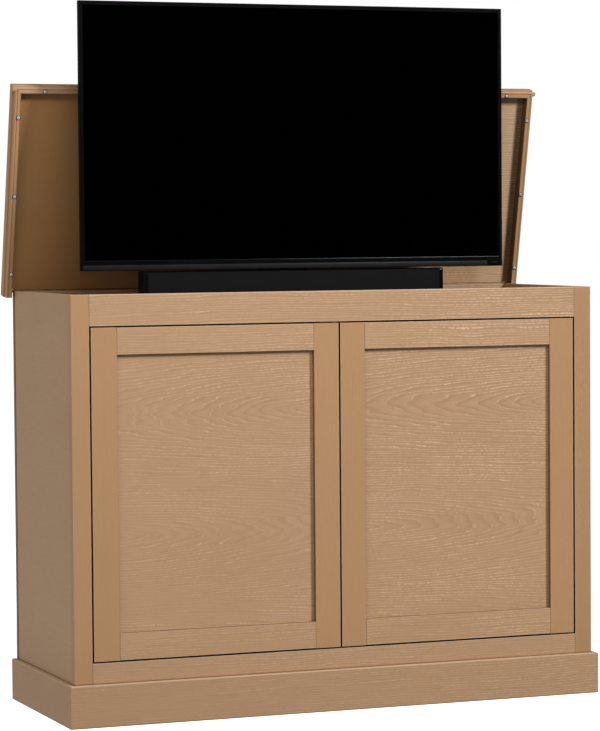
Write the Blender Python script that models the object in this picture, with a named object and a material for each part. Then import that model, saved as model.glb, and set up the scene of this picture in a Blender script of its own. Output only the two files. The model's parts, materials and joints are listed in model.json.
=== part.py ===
"""Television-lift cabinet: a framed oak cabinet with two inset doors and a flip-up lid.

A telescopic lift behind the front compartments raises a television and its soundbar through
the open top. The lid turns on a hinge along the back edge and leans on two rollers of the lift.

Everything is modelled in cabinet coordinates: x = 0 is the centre, y = 0 the front face of the
face frame, +y runs to the back and z = 0 is the floor. The "cabinet" empty then carries the
whole assembly into the part's frame, whose origin is at the middle of the floor area.
"""

from math import asin, cos, degrees, pi, radians, sin

import bmesh
import bpy
from mathutils import Matrix, Vector

# ------------------------------------------------------------------ driving dimensions (metres)
GAP = 0.0003  # between pieces that touch
CUT_PAST = 0.010  # how far cutters reach past the piece they cut
BODY_WIDTH = 1.345
BODY_DEPTH = 0.490
BODY_HEIGHT = 1.013
SIDE_BOARD = 0.018
BACK_BOARD = 0.006
SIDE_GROOVE_INSET = 0.0135  # from the back panel to the fine groove in the side panels
SIDE_GROOVE_WIDTH = 0.008
SIDE_GROOVE_DEPTH = 0.003

PLINTH_HEIGHT = 0.100
PLINTH_BOARD = 0.0125
FRAME_BOARD = 0.020  # face frame and doors
FRAME_STILE = 0.045
TOP_RAIL = 0.0742
OPENING_BOTTOM = 0.1502
FOOT_CLEARANCE = 0.020  # under the bottom rail and the back panel, behind the plinth
REAR_RAIL_BOARD = 0.020
REAR_RAIL_BOTTOM = 0.950
EDGE_EASE = 0.0010  # worn-round arrises

DOOR_GAP = 0.003
DOOR_STILE = 0.0645
DOOR_RAIL = 0.0645
DOOR_RECESS = 0.010
DOOR_PANEL = 0.006
DOOR_GROOVE = 0.008
DOOR_TONGUE_PLAY = 0.0005
DOOR_PIVOT_FRONT = 0.001  # how far the swing axis stands in front of the door

COMPARTMENT_DEPTH = 0.236
DIVIDER_BOARD = 0.012
DIVIDER_TOP = 0.985
PARTITION_SETBACK = 0.001  # behind the face frame
SHELF_HEIGHT = 0.541
SHELF_SETBACK = 0.010
CABLE_PORT_RADIUS = 0.032
CABLE_PORT_X = 0.420
CABLE_PORT_HEIGHT = 0.240

HINGE_CUP_RADIUS = 0.0175
HINGE_CUP_DEPTH = 0.011
HINGE_CUP_INSET = 0.0225  # cup centre from the door's outer edge
HINGE_CUP_PLAY = 0.0006
HINGE_FLANGE_RADIUS = 0.0215
HINGE_FLANGE = 0.002
HINGE_MOUTH_RADIUS = 0.012
HINGE_MOUTH_BEVEL = 0.002
HINGE_ARM_HALF_HEIGHT = 0.008
HINGE_ARM_REACH = {"foot": 0.0267, "step": 0.0025, "tip": -0.0395}  # outwards from the opening
HINGE_ARM_CLEARANCE = 0.0048  # between the face frame's back and the arm's free part
HINGE_ARM_BACK = 0.014
HINGE_ARM_ROUND = (0.004, 0.003)
HINGE_HEIGHTS = {"lower": 0.250, "upper": 0.840}
LATCH_HEIGHT = 0.870
LATCH_RADIUS = 0.004
LATCH_BORE_PLAY = 0.0004
LATCH_BODY = 0.016  # width and height
LATCH_BODY_LENGTH = 0.050
LATCH_BODY_SETBACK = 0.006
LATCH_BODY_EASE = 0.003
LATCH_PLUNGER_TIP = 0.0008  # behind the closed door's back
LATCH_PLUNGER_LENGTH = 0.025
LATCH_PLUNGER_BEVEL = 0.0012
LATCH_BORE_DEPTH = 0.034

LID_OPEN_ANGLE = radians(78)
LID_BOARD = 0.018
LID_SIDE_CLEARANCE = 0.006  # body side to the inner face of a side moulding
LID_FRONT_CLEARANCE = 0.003
LID_OVERHANG = 0.012  # side mouldings behind the hinge axis
LID_LIP = 0.022  # how far the mouldings drop below the panel
LID_MOULDING = 0.019
LID_FLAT_BAND = 0.0085  # flat inner strip of the mouldings, where their screws stand
LID_BEAD_RADIUS = 0.0038
LID_STEP = 0.0095  # from the panel's underside down to the mouldings' upper layer
LID_TOP_ROUND = 0.005
LID_PIVOT_BEHIND = 0.0035  # hinge axis behind the back panel
LID_KNUCKLE_RADIUS = 0.003
LID_HINGE_LENGTH = 1.336
LID_KNUCKLES = 9
LID_LEAF = 0.0015
LID_LEAF_REACH = {"fixed": 0.028, "moving": 0.0175}
LID_PIN_RADIUS = 0.0012

TV_WIDTH = 1.122
TV_BOTTOM = 1.0630
TV_TOP = 1.7160
TV_FRONT = 0.2744
TV_FRONT_SHELL = 0.012
TV_THIN_BACK = 0.008
TV_BACK = 0.3043
SCREEN_MARGIN = 0.010
SCREEN_CHIN = 0.024
SCREEN_POCKET = 0.0023
SCREEN_SUNK = 0.0006
REAR_COVER_INSET = 0.003
REAR_COVER_EASE = 0.004
TV_BULGE_HALF_WIDTH = 0.430
TV_BULGE_SPAN = (1.080, 1.450)
TV_BULGE_TAPER = 0.012

SOUNDBAR_WIDTH = 0.798
SOUNDBAR_FRONT = 0.281
SOUNDBAR_DEPTH = 0.050
SOUNDBAR_BOTTOM = 0.986
SOUNDBAR_TOP = 1.0610
SOUNDBAR_EASE = 0.003

LIFT_Y = 0.379  # column axis
LIFT_BASE_PLATE = 0.006
LIFT_BASE_HALF_WIDTH = 0.120
LIFT_BASE_REACH = {"front": 0.044, "back": 0.046}  # from the column axis
GEARBOX_GAP = 0.002  # beside the column
GEARBOX_SIZE = 0.048
GEARBOX_HEIGHT = 0.040
MOTOR_RADIUS = 0.019
MOTOR_LENGTH = 0.110
MOTOR_SUNK = 0.006  # into the gearbox
CONTROL_BOX_LOW = (-0.420, 0.262)
CONTROL_BOX_HIGH = (-0.300, 0.340)
CONTROL_BOX_HEIGHT = 0.040
CONTROL_BOX_EASE = 0.004
LIFT_WALL = 0.002
LIFT_OUTER = (0.120, 0.054)  # outside width and depth of each tube
LIFT_MIDDLE = (0.113, 0.047)
LIFT_INNER = (0.106, 0.040)
LIFT_OUTER_TOP = 0.700
LIFT_MIDDLE_SPAN = (0.5225, 1.0705)
LIFT_INNER_SPAN = (0.907, 1.440)
SPINDLE_RADIUS = 0.008
SPINDLE_TOP = 0.690
NUT_PLAY = 0.0006
NUT_HEIGHT = 0.017
NUT_SUNK = 0.001  # into the middle tube's wall

BRACKET_PLATE = 0.004
BRACKET_HALF_WIDTH = 0.210
BRACKET_BOTTOM = 1.130
BRACKET_FLANGE = 0.0035
SOUNDBAR_BRACKET_HALF_WIDTH = 0.040
SOUNDBAR_BRACKET_BACK = 0.328
SOUNDBAR_BRACKET_TOP = 1.126
SOUNDBAR_BRACKET_PLATE = 0.003

ROLLER_X = 0.150
ROLLER_RADIUS = 0.0125
ROLLER_BORE = 0.0043
ROLLER_LENGTH = 0.026
ROLLER_HEIGHT = 1.440
ROLLER_SOFTEN = 0.001
AXLE_RADIUS = 0.004
AXLE_PAST_ROLLER = 0.003
PUSHER_ARM = 0.006
PUSHER_ARM_GAP = 0.001  # beside the roller
PUSHER_ARM_DROP = 0.040
PUSHER_ARM_ROUND = 0.007

# --------------------------------------------------------------------------- worked-out places
HALF_WIDTH = BODY_WIDTH / 2
INNER_HALF = HALF_WIDTH - SIDE_BOARD
OPENING_HALF = HALF_WIDTH - FRAME_STILE
OPENING_TOP = BODY_HEIGHT - TOP_RAIL
BACK_FRONT = BODY_DEPTH - BACK_BOARD
LATCH_X = SIDE_BOARD / 2 + GAP + LATCH_BODY / 2
LID_PIVOT = Vector((0, BODY_DEPTH + LID_PIVOT_BEHIND, BODY_HEIGHT))
LID_UNDERSIDE = BODY_HEIGHT + GAP
LID_TOP = LID_UNDERSIDE + LID_BOARD
LID_INNER_HALF = HALF_WIDTH + LID_SIDE_CLEARANCE
LID_REAR_REACH = (
    LID_PIVOT.y + LID_OVERHANG * cos(LID_OPEN_ANGLE) + (LID_TOP - BODY_HEIGHT) * sin(LID_OPEN_ANGLE)
)
PLINTH_PROUD = PLINTH_BOARD + GAP
CABINET_Y = -(LID_REAR_REACH - PLINTH_PROUD) / 2

FINISHES = {  # colour, roughness, metallic
    "oak_across": ((0.47, 0.31, 0.18), 0.55, 0.0),
    "oak_upright": ((0.44, 0.27, 0.14), 0.55, 0.0),
    "back_board": ((0.05, 0.04, 0.035), 0.8, 0.0),
    "black_plastic": ((0.02, 0.02, 0.022), 0.4, 0.0),
    "grille_cloth": ((0.03, 0.03, 0.033), 0.9, 0.0),
    "screen_glass": ((0.004, 0.004, 0.004), 0.08, 0.0),
    "powder_steel": ((0.06, 0.06, 0.065), 0.45, 0.6),
    "zinc_steel": ((0.55, 0.55, 0.56), 0.35, 1.0),
    "brass": ((0.55, 0.40, 0.18), 0.35, 1.0),
    "rubber": ((0.03, 0.03, 0.03), 0.85, 0.0),
}


# ------------------------------------------------------------------------------------- helpers
def clear_scene():
    for item in list(bpy.data.objects):
        bpy.data.objects.remove(item, do_unlink=True)


def empty(name, location, parent=None):
    """An axis or group marker; its location is in cabinet coordinates."""
    marker = bpy.data.objects.new(name, None)
    marker.location = location
    marker.parent = parent
    marker.empty_display_size = 0.05
    bpy.context.scene.collection.objects.link(marker)
    return marker


def own_material(name, finish):
    colour, roughness, metallic = FINISHES[finish]
    material = bpy.data.materials.new(name)
    material.use_nodes = True
    shader = material.node_tree.nodes["Principled BSDF"]
    shader.inputs["Base Color"].default_value = (*colour, 1)
    shader.inputs["Roughness"].default_value = roughness
    shader.inputs["Metallic"].default_value = metallic
    return material


def finish_object(name, bm, finish, group, location=(0, 0, 0), turn=(0, 0, 0), smooth=False):
    """Turn a bmesh into a named object of a group. A finish of None makes it a cutter."""
    bmesh.ops.recalc_face_normals(bm, faces=bm.faces)
    mesh = bpy.data.meshes.new(name)
    bm.to_mesh(mesh)
    bm.free()
    if smooth:
        mesh.shade_smooth()
        mesh.set_sharp_from_angle(angle=radians(35))
    item = bpy.data.objects.new(name, mesh)
    item.location = location
    item.rotation_euler = turn
    item.parent = group
    if group is not cabinet:
        item.matrix_parent_inverse = Matrix.Translation(-group.location)
    bpy.context.scene.collection.objects.link(item)
    if finish is None:
        item.hide_render = True
        item.display_type = "WIRE"
    else:
        mesh.materials.append(own_material(name, finish))
    return item


def combine(target, other, operation):
    step = target.modifiers.new(operation.lower() + "_" + other.name, "BOOLEAN")
    step.operation = operation
    step.object = other
    step.solver = "EXACT"


def side_of(normal):
    axis = max(range(3), key=lambda n: abs(normal[n]))
    return ("-" if normal[axis] < 0 else "+") + "xyz"[axis]


def box(name, finish, group, low, high, eased=(), ease=EDGE_EASE):
    """A board between two corners. eased names arrises by their two faces, such as "-y+z"."""
    low, high = Vector(low), Vector(high)
    bm = bmesh.new()
    bmesh.ops.create_cube(bm, size=1)
    bmesh.ops.scale(bm, vec=high - low, verts=bm.verts)
    bm.normal_update()
    wanted = [{pair[:2], pair[2:]} for pair in eased]
    edges = [e for e in bm.edges if {side_of(f.normal) for f in e.link_faces} in wanted]
    if edges:
        bmesh.ops.bevel(bm, geom=edges, offset=ease, segments=2, profile=0.5, affect="EDGES")
    return finish_object(name, bm, finish, group, location=(low + high) / 2)


def along(axis, run, first, second):
    """A point at run on an axis, with the other two coordinates in X, Y, Z order."""
    return {"x": (run, first, second), "y": (first, run, second), "z": (first, second, run)}[axis]


def add_prism(bm, axis, outline, start, end):
    """Extrude a closed outline along an axis. start and end are numbers or rules of a point."""
    at_start = start if callable(start) else lambda point: start
    at_end = end if callable(end) else lambda point: end
    near = [bm.verts.new(along(axis, at_start(p), *p)) for p in outline]
    far = [bm.verts.new(along(axis, at_end(p), *p)) for p in outline]
    bm.faces.new(near)
    bm.faces.new(reversed(far))
    for n in range(len(outline)):
        m = (n + 1) % len(outline)
        bm.faces.new((near[n], far[n], far[m], near[m]))


def prism(name, finish, group, axis, outline, start, end, smooth=False):
    bm = bmesh.new()
    add_prism(bm, axis, outline, start, end)
    return finish_object(name, bm, finish, group, smooth=smooth)


def arc(centre, radius, start, end, steps):
    """Points on an arc, both ends included; angles in degrees."""
    angles = [radians(start + (end - start) * n / steps) for n in range(steps + 1)]
    return [(centre[0] + radius * cos(a), centre[1] + radius * sin(a)) for a in angles]


def turned(name, finish, group, profile, origin, axis, steps=24, ring=False):
    """A turned piece from (radius, distance) points, which start at origin and run along axis."""
    bm = bmesh.new()
    verts = [bm.verts.new((radius, 0, height)) for radius, height in profile]
    pairs = list(zip(verts, verts[1:] + verts[:1])) if ring else list(zip(verts, verts[1:]))
    edges = [bm.edges.new(pair) for pair in pairs]
    bmesh.ops.spin(
        bm, geom=verts + edges, cent=(0, 0, 0), axis=(0, 0, 1), angle=2 * pi, steps=steps, use_merge=True
    )
    bmesh.ops.remove_doubles(bm, verts=bm.verts, dist=1e-6)
    turn = {"x": (0, pi / 2, 0), "y": (-pi / 2, 0, 0), "z": (0, 0, 0)}[axis]
    return finish_object(name, bm, finish, group, location=origin, turn=turn, smooth=True)


def rod(name, finish, group, radius, length, origin, axis, steps=24):
    profile = [(0, 0), (radius, 0), (radius, length), (0, length)]
    return turned(name, finish, group, profile, origin, axis, steps)


def rectangular_tube(name, finish, group, size, low_z, high_z):
    """A tube around the lift's axis, open at both ends."""
    bm = bmesh.new()
    loops = []
    for inset in (0, LIFT_WALL):
        half_x, half_y = size[0] / 2 - inset, size[1] / 2 - inset
        corners = [(-half_x, -half_y), (half_x, -half_y), (half_x, half_y), (-half_x, half_y)]
        loops += [[bm.verts.new((x, LIFT_Y + y, z)) for x, y in corners] for z in (low_z, high_z)]
    outer_low, outer_high, inner_low, inner_high = loops
    for first, second in (
        (outer_low, outer_high),
        (outer_high, inner_high),
        (inner_high, inner_low),
        (inner_low, outer_low),
    ):
        for n in range(4):
            m = (n + 1) % 4
            bm.faces.new((first[n], first[m], second[m], second[n]))
    return finish_object(name, bm, finish, group)


def mirrored(outline, side):
    """The outline for the right side (1), or its mirror image for the left side (-1)."""
    return [(side * first, second) for first, second in outline]


# ---------------------------------------------------------------------------------------- case
def make_case():
    groove_end = BACK_FRONT - SIDE_GROOVE_INSET + SIDE_GROOVE_WIDTH
    groove_start = groove_end - SIDE_GROOVE_WIDTH
    front, back = FRAME_BOARD + GAP, BACK_FRONT - GAP
    side_outline = [
        (INNER_HALF, front),
        (HALF_WIDTH, front),
        (HALF_WIDTH, groove_start),
        (HALF_WIDTH - SIDE_GROOVE_DEPTH, (groove_start + groove_end) / 2),
        (HALF_WIDTH, groove_end),
        (HALF_WIDTH, back),
        (INNER_HALF, back),
    ]
    for side, word in SIDES:
        outline = mirrored(side_outline, side)
        prism(word + "_side_panel", "oak_across", cabinet, "z", outline, 0, BODY_HEIGHT)

    reach = INNER_HALF - GAP
    box(
        "bottom_panel", "oak_across", cabinet,
        (-reach, front, OPENING_BOTTOM - SIDE_BOARD), (reach, back, OPENING_BOTTOM),
    )
    box(
        "divider_panel", "oak_across", cabinet,
        (-reach, COMPARTMENT_DEPTH, OPENING_BOTTOM + GAP),
        (reach, COMPARTMENT_DEPTH + DIVIDER_BOARD, DIVIDER_TOP),
    )
    half_partition = SIDE_BOARD / 2
    box(
        "centre_partition", "oak_upright", cabinet,
        (-half_partition, FRAME_BOARD + PARTITION_SETBACK, OPENING_BOTTOM + GAP),
        (half_partition, COMPARTMENT_DEPTH - GAP, OPENING_TOP - GAP),
    )
    for side, word in SIDES:
        ends = sorted((side * (half_partition + GAP), side * reach))
        box(
            word + "_shelf", "oak_across", cabinet,
            (ends[0], FRAME_BOARD + SHELF_SETBACK, SHELF_HEIGHT),
            (ends[1], COMPARTMENT_DEPTH - GAP, SHELF_HEIGHT + SIDE_BOARD),
            eased=("-y+z", "-y-z"),
        )
    box(
        "rear_top_rail", "oak_across", cabinet,
        (-reach, back - REAR_RAIL_BOARD, REAR_RAIL_BOTTOM), (reach, back, BODY_HEIGHT - GAP),
    )


def make_back_panel():
    panel = box(
        "back_panel", "back_board", cabinet,
        (-HALF_WIDTH + GAP, BACK_FRONT, FOOT_CLEARANCE),
        (HALF_WIDTH - GAP, BODY_DEPTH, BODY_HEIGHT - GAP),
    )
    for side, word in SIDES:
        origin = (side * CABLE_PORT_X, BACK_FRONT - CUT_PAST, CABLE_PORT_HEIGHT)
        length = BACK_BOARD + 2 * CUT_PAST
        port = rod(word + "_port_cutter", None, cabinet, CABLE_PORT_RADIUS, length, origin, "y", 32)
        combine(panel, port, "DIFFERENCE")


def make_face_frame():
    for side, word in SIDES:
        ends = sorted((side * OPENING_HALF, side * HALF_WIDTH))
        outer = "-x" if side < 0 else "+x"
        box(
            f"face_{word}_stile", "oak_upright", cabinet,
            (ends[0], 0, 0), (ends[1], FRAME_BOARD, BODY_HEIGHT),
            eased=(outer + "-y", "-y+z"),
        )
    reach = OPENING_HALF - GAP
    box(
        "face_top_rail", "oak_across", cabinet,
        (-reach, 0, OPENING_TOP), (reach, FRAME_BOARD, BODY_HEIGHT), eased=("-y+z", "-y-z"),
    )
    box(
        "face_bottom_rail", "oak_across", cabinet,
        (-reach, 0, FOOT_CLEARANCE), (reach, FRAME_BOARD, OPENING_BOTTOM), eased=("-y+z",),
    )


def make_plinth():
    """Boards around the foot, mitred at the two front corners."""
    ease = 2 * EDGE_EASE
    inner, outer = GAP, PLINTH_PROUD
    corner = arc((outer - ease, PLINTH_HEIGHT - ease), ease, 0, 90, 3)
    profile = [(inner, 0), (outer, 0), *corner, (inner, PLINTH_HEIGHT)]
    for side, word in SIDES:
        outline = [(side * (HALF_WIDTH + out), z) for out, z in profile]
        prism(
            "plinth_" + word, "oak_across", cabinet, "y", outline,
            lambda point: -(abs(point[0]) - HALF_WIDTH) + GAP, BODY_DEPTH, smooth=True,
        )
    outline = [(-out, z) for out, z in profile]
    prism(
        "plinth_front", "oak_across", cabinet, "x", outline,
        lambda point: -(HALF_WIDTH - point[0]), lambda point: HALF_WIDTH - point[0], smooth=True,
    )


# --------------------------------------------------------------------------------------- doors
def frame_member(width):
    """Section of a door stile or rail: (distance from its outer edge, depth), grooved inside."""
    groove_front = DOOR_RECESS - GAP
    groove_back = DOOR_RECESS + DOOR_PANEL + GAP
    return [
        *arc((EDGE_EASE, EDGE_EASE), EDGE_EASE, 180, 270, 2),
        *arc((width - EDGE_EASE, EDGE_EASE), EDGE_EASE, 270, 360, 2),
        (width, groove_front),
        (width - DOOR_GROOVE, groove_front),
        (width - DOOR_GROOVE, groove_back),
        (width, groove_back),
        (width, FRAME_BOARD),
        (0, FRAME_BOARD),
    ]


def make_door(side, word, group):
    near, far = DOOR_GAP / 2, OPENING_HALF - DOOR_GAP  # distances from the centre line
    low, high = OPENING_BOTTOM + DOOR_GAP, OPENING_TOP - DOOR_GAP
    section = frame_member(DOOR_STILE)
    outer_outline = [(side * (far - across), depth) for across, depth in section]
    inner_outline = [(side * (near + across), depth) for across, depth in section]
    outer = prism(word + "_door_outer_stile", "oak_upright", group, "z", outer_outline, low, high)
    prism(word + "_door_inner_stile", "oak_upright", group, "z", inner_outline, low, high)

    ends = sorted((side * (near + DOOR_STILE + GAP), side * (far - DOOR_STILE - GAP)))
    section = frame_member(DOOR_RAIL)
    top_outline = [(depth, high - across) for across, depth in section]
    bottom_outline = [(depth, low + across) for across, depth in section]
    prism(word + "_door_top_rail", "oak_across", group, "x", top_outline, *ends)
    prism(word + "_door_bottom_rail", "oak_across", group, "x", bottom_outline, *ends)

    tongue = DOOR_GROOVE - DOOR_TONGUE_PLAY
    ends = sorted((side * (near + DOOR_STILE - tongue), side * (far - DOOR_STILE + tongue)))
    box(
        word + "_door_panel", "oak_across", group,
        (ends[0], DOOR_RECESS, low + DOOR_RAIL - tongue),
        (ends[1], DOOR_RECESS + DOOR_PANEL, high - DOOR_RAIL + tongue),
    )

    centre_x = side * (far - HINGE_CUP_INSET)
    cup_front = FRAME_BOARD - HINGE_CUP_DEPTH
    seat = HINGE_CUP_DEPTH + GAP
    profile = [
        (0, 0),
        (HINGE_CUP_RADIUS, 0),
        (HINGE_CUP_RADIUS, seat),
        (HINGE_FLANGE_RADIUS, seat),
        (HINGE_FLANGE_RADIUS, seat + HINGE_FLANGE),
        (HINGE_MOUTH_RADIUS, seat + HINGE_FLANGE),
        (HINGE_MOUTH_RADIUS - HINGE_MOUTH_BEVEL, seat),
        (0, seat),
    ]
    for level, height in HINGE_HEIGHTS.items():
        turned(
            f"{word}_hinge_cup_{level}", "zinc_steel", group, profile,
            (centre_x, cup_front, height), "y", 28,
        )
        origin = (centre_x, cup_front - GAP, height)
        name = f"{word}_cup_cutter_{level}"
        radius, length = HINGE_CUP_RADIUS + HINGE_CUP_PLAY, HINGE_CUP_DEPTH + CUT_PAST
        combine(outer, rod(name, None, group, radius, length, origin, "y", 28), "DIFFERENCE")


def make_hinge_arms(side, word):
    """The case side of each concealed hinge: a bent arm screwed behind the face frame."""
    foot, step, tip = (OPENING_HALF + HINGE_ARM_REACH[name] for name in ("foot", "step", "tip"))
    front = FRAME_BOARD + GAP
    shelf, back = FRAME_BOARD + HINGE_ARM_CLEARANCE, FRAME_BOARD + HINGE_ARM_BACK
    inward, deep = HINGE_ARM_ROUND
    round_end = [(tip + inward, shelf), (tip, shelf + deep), (tip, back - deep), (tip + inward, back)]
    outline = [(foot, front), (step, front), (step, shelf), *round_end, (foot, back)]
    for level, height in HINGE_HEIGHTS.items():
        prism(
            f"{word}_hinge_arm_{level}", "zinc_steel", cabinet, "z",
            mirrored(outline, side), height - HINGE_ARM_HALF_HEIGHT, height + HINGE_ARM_HALF_HEIGHT,
        )


def make_latch(side, word, group):
    """A push latch on the centre partition; its sprung plunger faces the door's back."""
    half = LATCH_BODY / 2
    front = FRAME_BOARD + LATCH_BODY_SETBACK
    body = box(
        word + "_latch_body", "black_plastic", cabinet,
        (side * LATCH_X - half, front, LATCH_HEIGHT - half),
        (side * LATCH_X + half, front + LATCH_BODY_LENGTH, LATCH_HEIGHT + half),
        eased=("-x-z", "+x-z", "-x+z", "+x+z"), ease=LATCH_BODY_EASE,
    )
    origin = (side * LATCH_X, FRAME_BOARD, LATCH_HEIGHT)
    name, radius = word + "_latch_bore_cutter", LATCH_RADIUS + LATCH_BORE_PLAY
    combine(body, rod(name, None, cabinet, radius, LATCH_BORE_DEPTH, origin, "y", 20), "DIFFERENCE")
    tip, end = LATCH_PLUNGER_TIP, LATCH_PLUNGER_TIP + LATCH_PLUNGER_LENGTH
    profile = [
        (0, tip),
        (LATCH_RADIUS - LATCH_PLUNGER_BEVEL, tip),
        (LATCH_RADIUS, tip + LATCH_PLUNGER_BEVEL),
        (LATCH_RADIUS, end),
        (0, end),
    ]
    turned(word + "_latch_plunger", "black_plastic", group, profile, origin, "y", 20)


# ----------------------------------------------------------------------------------------- lid
def lid_profile():
    """Moulding section: (distance out from the inner face, height above the panel's underside)."""
    bead_centre = (LID_FLAT_BAND + LID_BEAD_RADIUS, LID_BEAD_RADIUS - LID_LIP)
    top_centre = (LID_MOULDING - LID_TOP_ROUND, LID_BOARD - LID_TOP_ROUND)
    return [
        (0, -LID_LIP),
        (LID_FLAT_BAND, -LID_LIP),
        *arc(bead_centre, LID_BEAD_RADIUS, -150, 0, 8),
        (bead_centre[0] + LID_BEAD_RADIUS, -LID_STEP),
        (LID_MOULDING, -LID_STEP),
        *arc(top_centre, LID_TOP_ROUND, 0, 90, 4),
        (0, LID_BOARD),
    ]


def make_lid(group):
    """The lid is modelled closed; the lid axis then turns it open."""
    front = -LID_FRONT_CLEARANCE
    box(
        "lid_panel", "oak_across", group,
        (-LID_INNER_HALF + GAP, front + GAP, LID_UNDERSIDE), (LID_INNER_HALF - GAP, BODY_DEPTH, LID_TOP),
    )
    for side, word in SIDES:
        outline = [(side * (LID_INNER_HALF + out), LID_UNDERSIDE + up) for out, up in lid_profile()]
        prism(
            "lid_moulding_" + word, "oak_upright", group, "y", outline,
            lambda point: front - (abs(point[0]) - LID_INNER_HALF) + GAP,
            LID_PIVOT.y + LID_OVERHANG, smooth=True,
        )
    outline = [(front - out, LID_UNDERSIDE + up) for out, up in lid_profile()]
    prism(
        "lid_moulding_front", "oak_across", group, "x", outline,
        lambda point: -(LID_INNER_HALF + front - point[0]),
        lambda point: LID_INNER_HALF + front - point[0], smooth=True,
    )


def make_lid_hinge_leaf(name, group, way, reach, first_knuckle):
    """One leaf of the lid's long hinge. way is -1 for the leaf that hangs down on the back."""
    outside, inside = BODY_DEPTH + GAP, BODY_DEPTH + GAP + LID_LEAF
    clear = LID_KNUCKLE_RADIUS + 0.001
    heights = sorted((BODY_HEIGHT + way * clear, BODY_HEIGHT + way * reach))
    half_length = LID_HINGE_LENGTH / 2
    leaf = box(
        name, "brass", group, (-half_length, outside, heights[0]), (half_length, inside, heights[1])
    )
    tab = 0.0001  # the tabs stay just inside the leaf's two faces
    centre = (LID_PIVOT.y, 0)
    meets = degrees(asin((LID_PIVOT.y - inside + tab) / LID_KNUCKLE_RADIUS))
    round_part = arc(centre, LID_KNUCKLE_RADIUS, -90 - meets, 170, 10)
    root = -clear - 0.002
    outline = [(outside + tab, root), (inside - tab, root), *round_part, (outside + tab, 0)]
    outline = [(y, BODY_HEIGHT - way * z) for y, z in outline]
    pitch, play = LID_HINGE_LENGTH / LID_KNUCKLES, 0.0002
    bm = bmesh.new()
    for n in range(first_knuckle, LID_KNUCKLES, 2):
        start = -half_length + n * pitch
        add_prism(bm, "x", outline, start + play, start + pitch - play)
    knuckles = finish_object(name + "_knuckles", bm, None, group)
    combine(leaf, knuckles, "UNION")
    return leaf


def make_lid_hinge(lid_group):
    fixed = make_lid_hinge_leaf("lid_hinge_fixed_leaf", cabinet, -1, LID_LEAF_REACH["fixed"], 0)
    moving = make_lid_hinge_leaf("lid_hinge_moving_leaf", lid_group, 1, LID_LEAF_REACH["moving"], 1)
    setback, play = 0.002, 0.0004
    start, length = -LID_HINGE_LENGTH / 2 + setback, LID_HINGE_LENGTH - 2 * setback
    origin = (start, LID_PIVOT.y, LID_PIVOT.z)
    pin = rod("lid_hinge_pin_core", None, cabinet, LID_PIN_RADIUS, length, origin, "x", 12)
    combine(fixed, pin, "UNION")
    origin = (start - CUT_PAST, LID_PIVOT.y, LID_PIVOT.z)
    radius, length = LID_PIN_RADIUS + play, length + 2 * CUT_PAST
    bore = rod("lid_hinge_bore", None, lid_group, radius, length, origin, "x", 12)
    combine(moving, bore, "DIFFERENCE")


# ---------------------------------------------------------------------------------------- lift
def make_lift_base():
    floor = OPENING_BOTTOM + GAP
    column = rectangular_tube(
        "lift_outer_column", "powder_steel", cabinet, LIFT_OUTER,
        floor + LIFT_BASE_PLATE / 2, LIFT_OUTER_TOP,
    )
    plate = box(
        "lift_base_plate_body", None, cabinet,
        (-LIFT_BASE_HALF_WIDTH, LIFT_Y - LIFT_BASE_REACH["front"], floor),
        (LIFT_BASE_HALF_WIDTH, LIFT_Y + LIFT_BASE_REACH["back"], floor + LIFT_BASE_PLATE),
    )
    combine(column, plate, "UNION")

    plate_top = floor + LIFT_BASE_PLATE + GAP
    gearbox_left, half = LIFT_OUTER[0] / 2 + GEARBOX_GAP, GEARBOX_SIZE / 2
    motor = rod(
        "lift_motor", "powder_steel", cabinet, MOTOR_RADIUS, MOTOR_LENGTH,
        (gearbox_left + half, LIFT_Y, plate_top + GEARBOX_HEIGHT - MOTOR_SUNK), "z", 24,
    )
    gearbox = box(
        "lift_gearbox_body", None, cabinet,
        (gearbox_left, LIFT_Y - half, plate_top),
        (gearbox_left + GEARBOX_SIZE, LIFT_Y + half, plate_top + GEARBOX_HEIGHT),
    )
    combine(motor, gearbox, "UNION")
    box(
        "lift_control_box", "black_plastic", cabinet,
        (*CONTROL_BOX_LOW, floor), (*CONTROL_BOX_HIGH, floor + CONTROL_BOX_HEIGHT),
        eased=("-x+z", "+x+z", "-y+z", "+y+z"), ease=CONTROL_BOX_EASE,
    )


def make_lift_middle(group):
    low, high = LIFT_MIDDLE_SPAN
    tube = rectangular_tube("lift_middle_tube", "powder_steel", group, LIFT_MIDDLE, low, high)
    half_x, half_y = LIFT_MIDDLE[0] / 2 - NUT_SUNK, LIFT_MIDDLE[1] / 2 - NUT_SUNK
    nut_low = low + NUT_SUNK / 2
    nut = box(
        "spindle_nut_body", None, group,
        (-half_x, LIFT_Y - half_y, nut_low), (half_x, LIFT_Y + half_y, nut_low + NUT_HEIGHT),
    )
    combine(tube, nut, "UNION")
    origin = (0, LIFT_Y, low - CUT_PAST)
    radius, length = SPINDLE_RADIUS + NUT_PLAY, NUT_HEIGHT + 3 * CUT_PAST
    combine(tube, rod("spindle_nut_bore", None, group, radius, length, origin, "z", 20), "DIFFERENCE")


def make_spindle(group):
    bottom = OPENING_BOTTOM + LIFT_BASE_PLATE + 2 * GAP
    origin = (0, LIFT_Y, bottom)
    rod("lift_spindle", "zinc_steel", group, SPINDLE_RADIUS, SPINDLE_TOP - bottom, origin, "z", 20)


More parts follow.
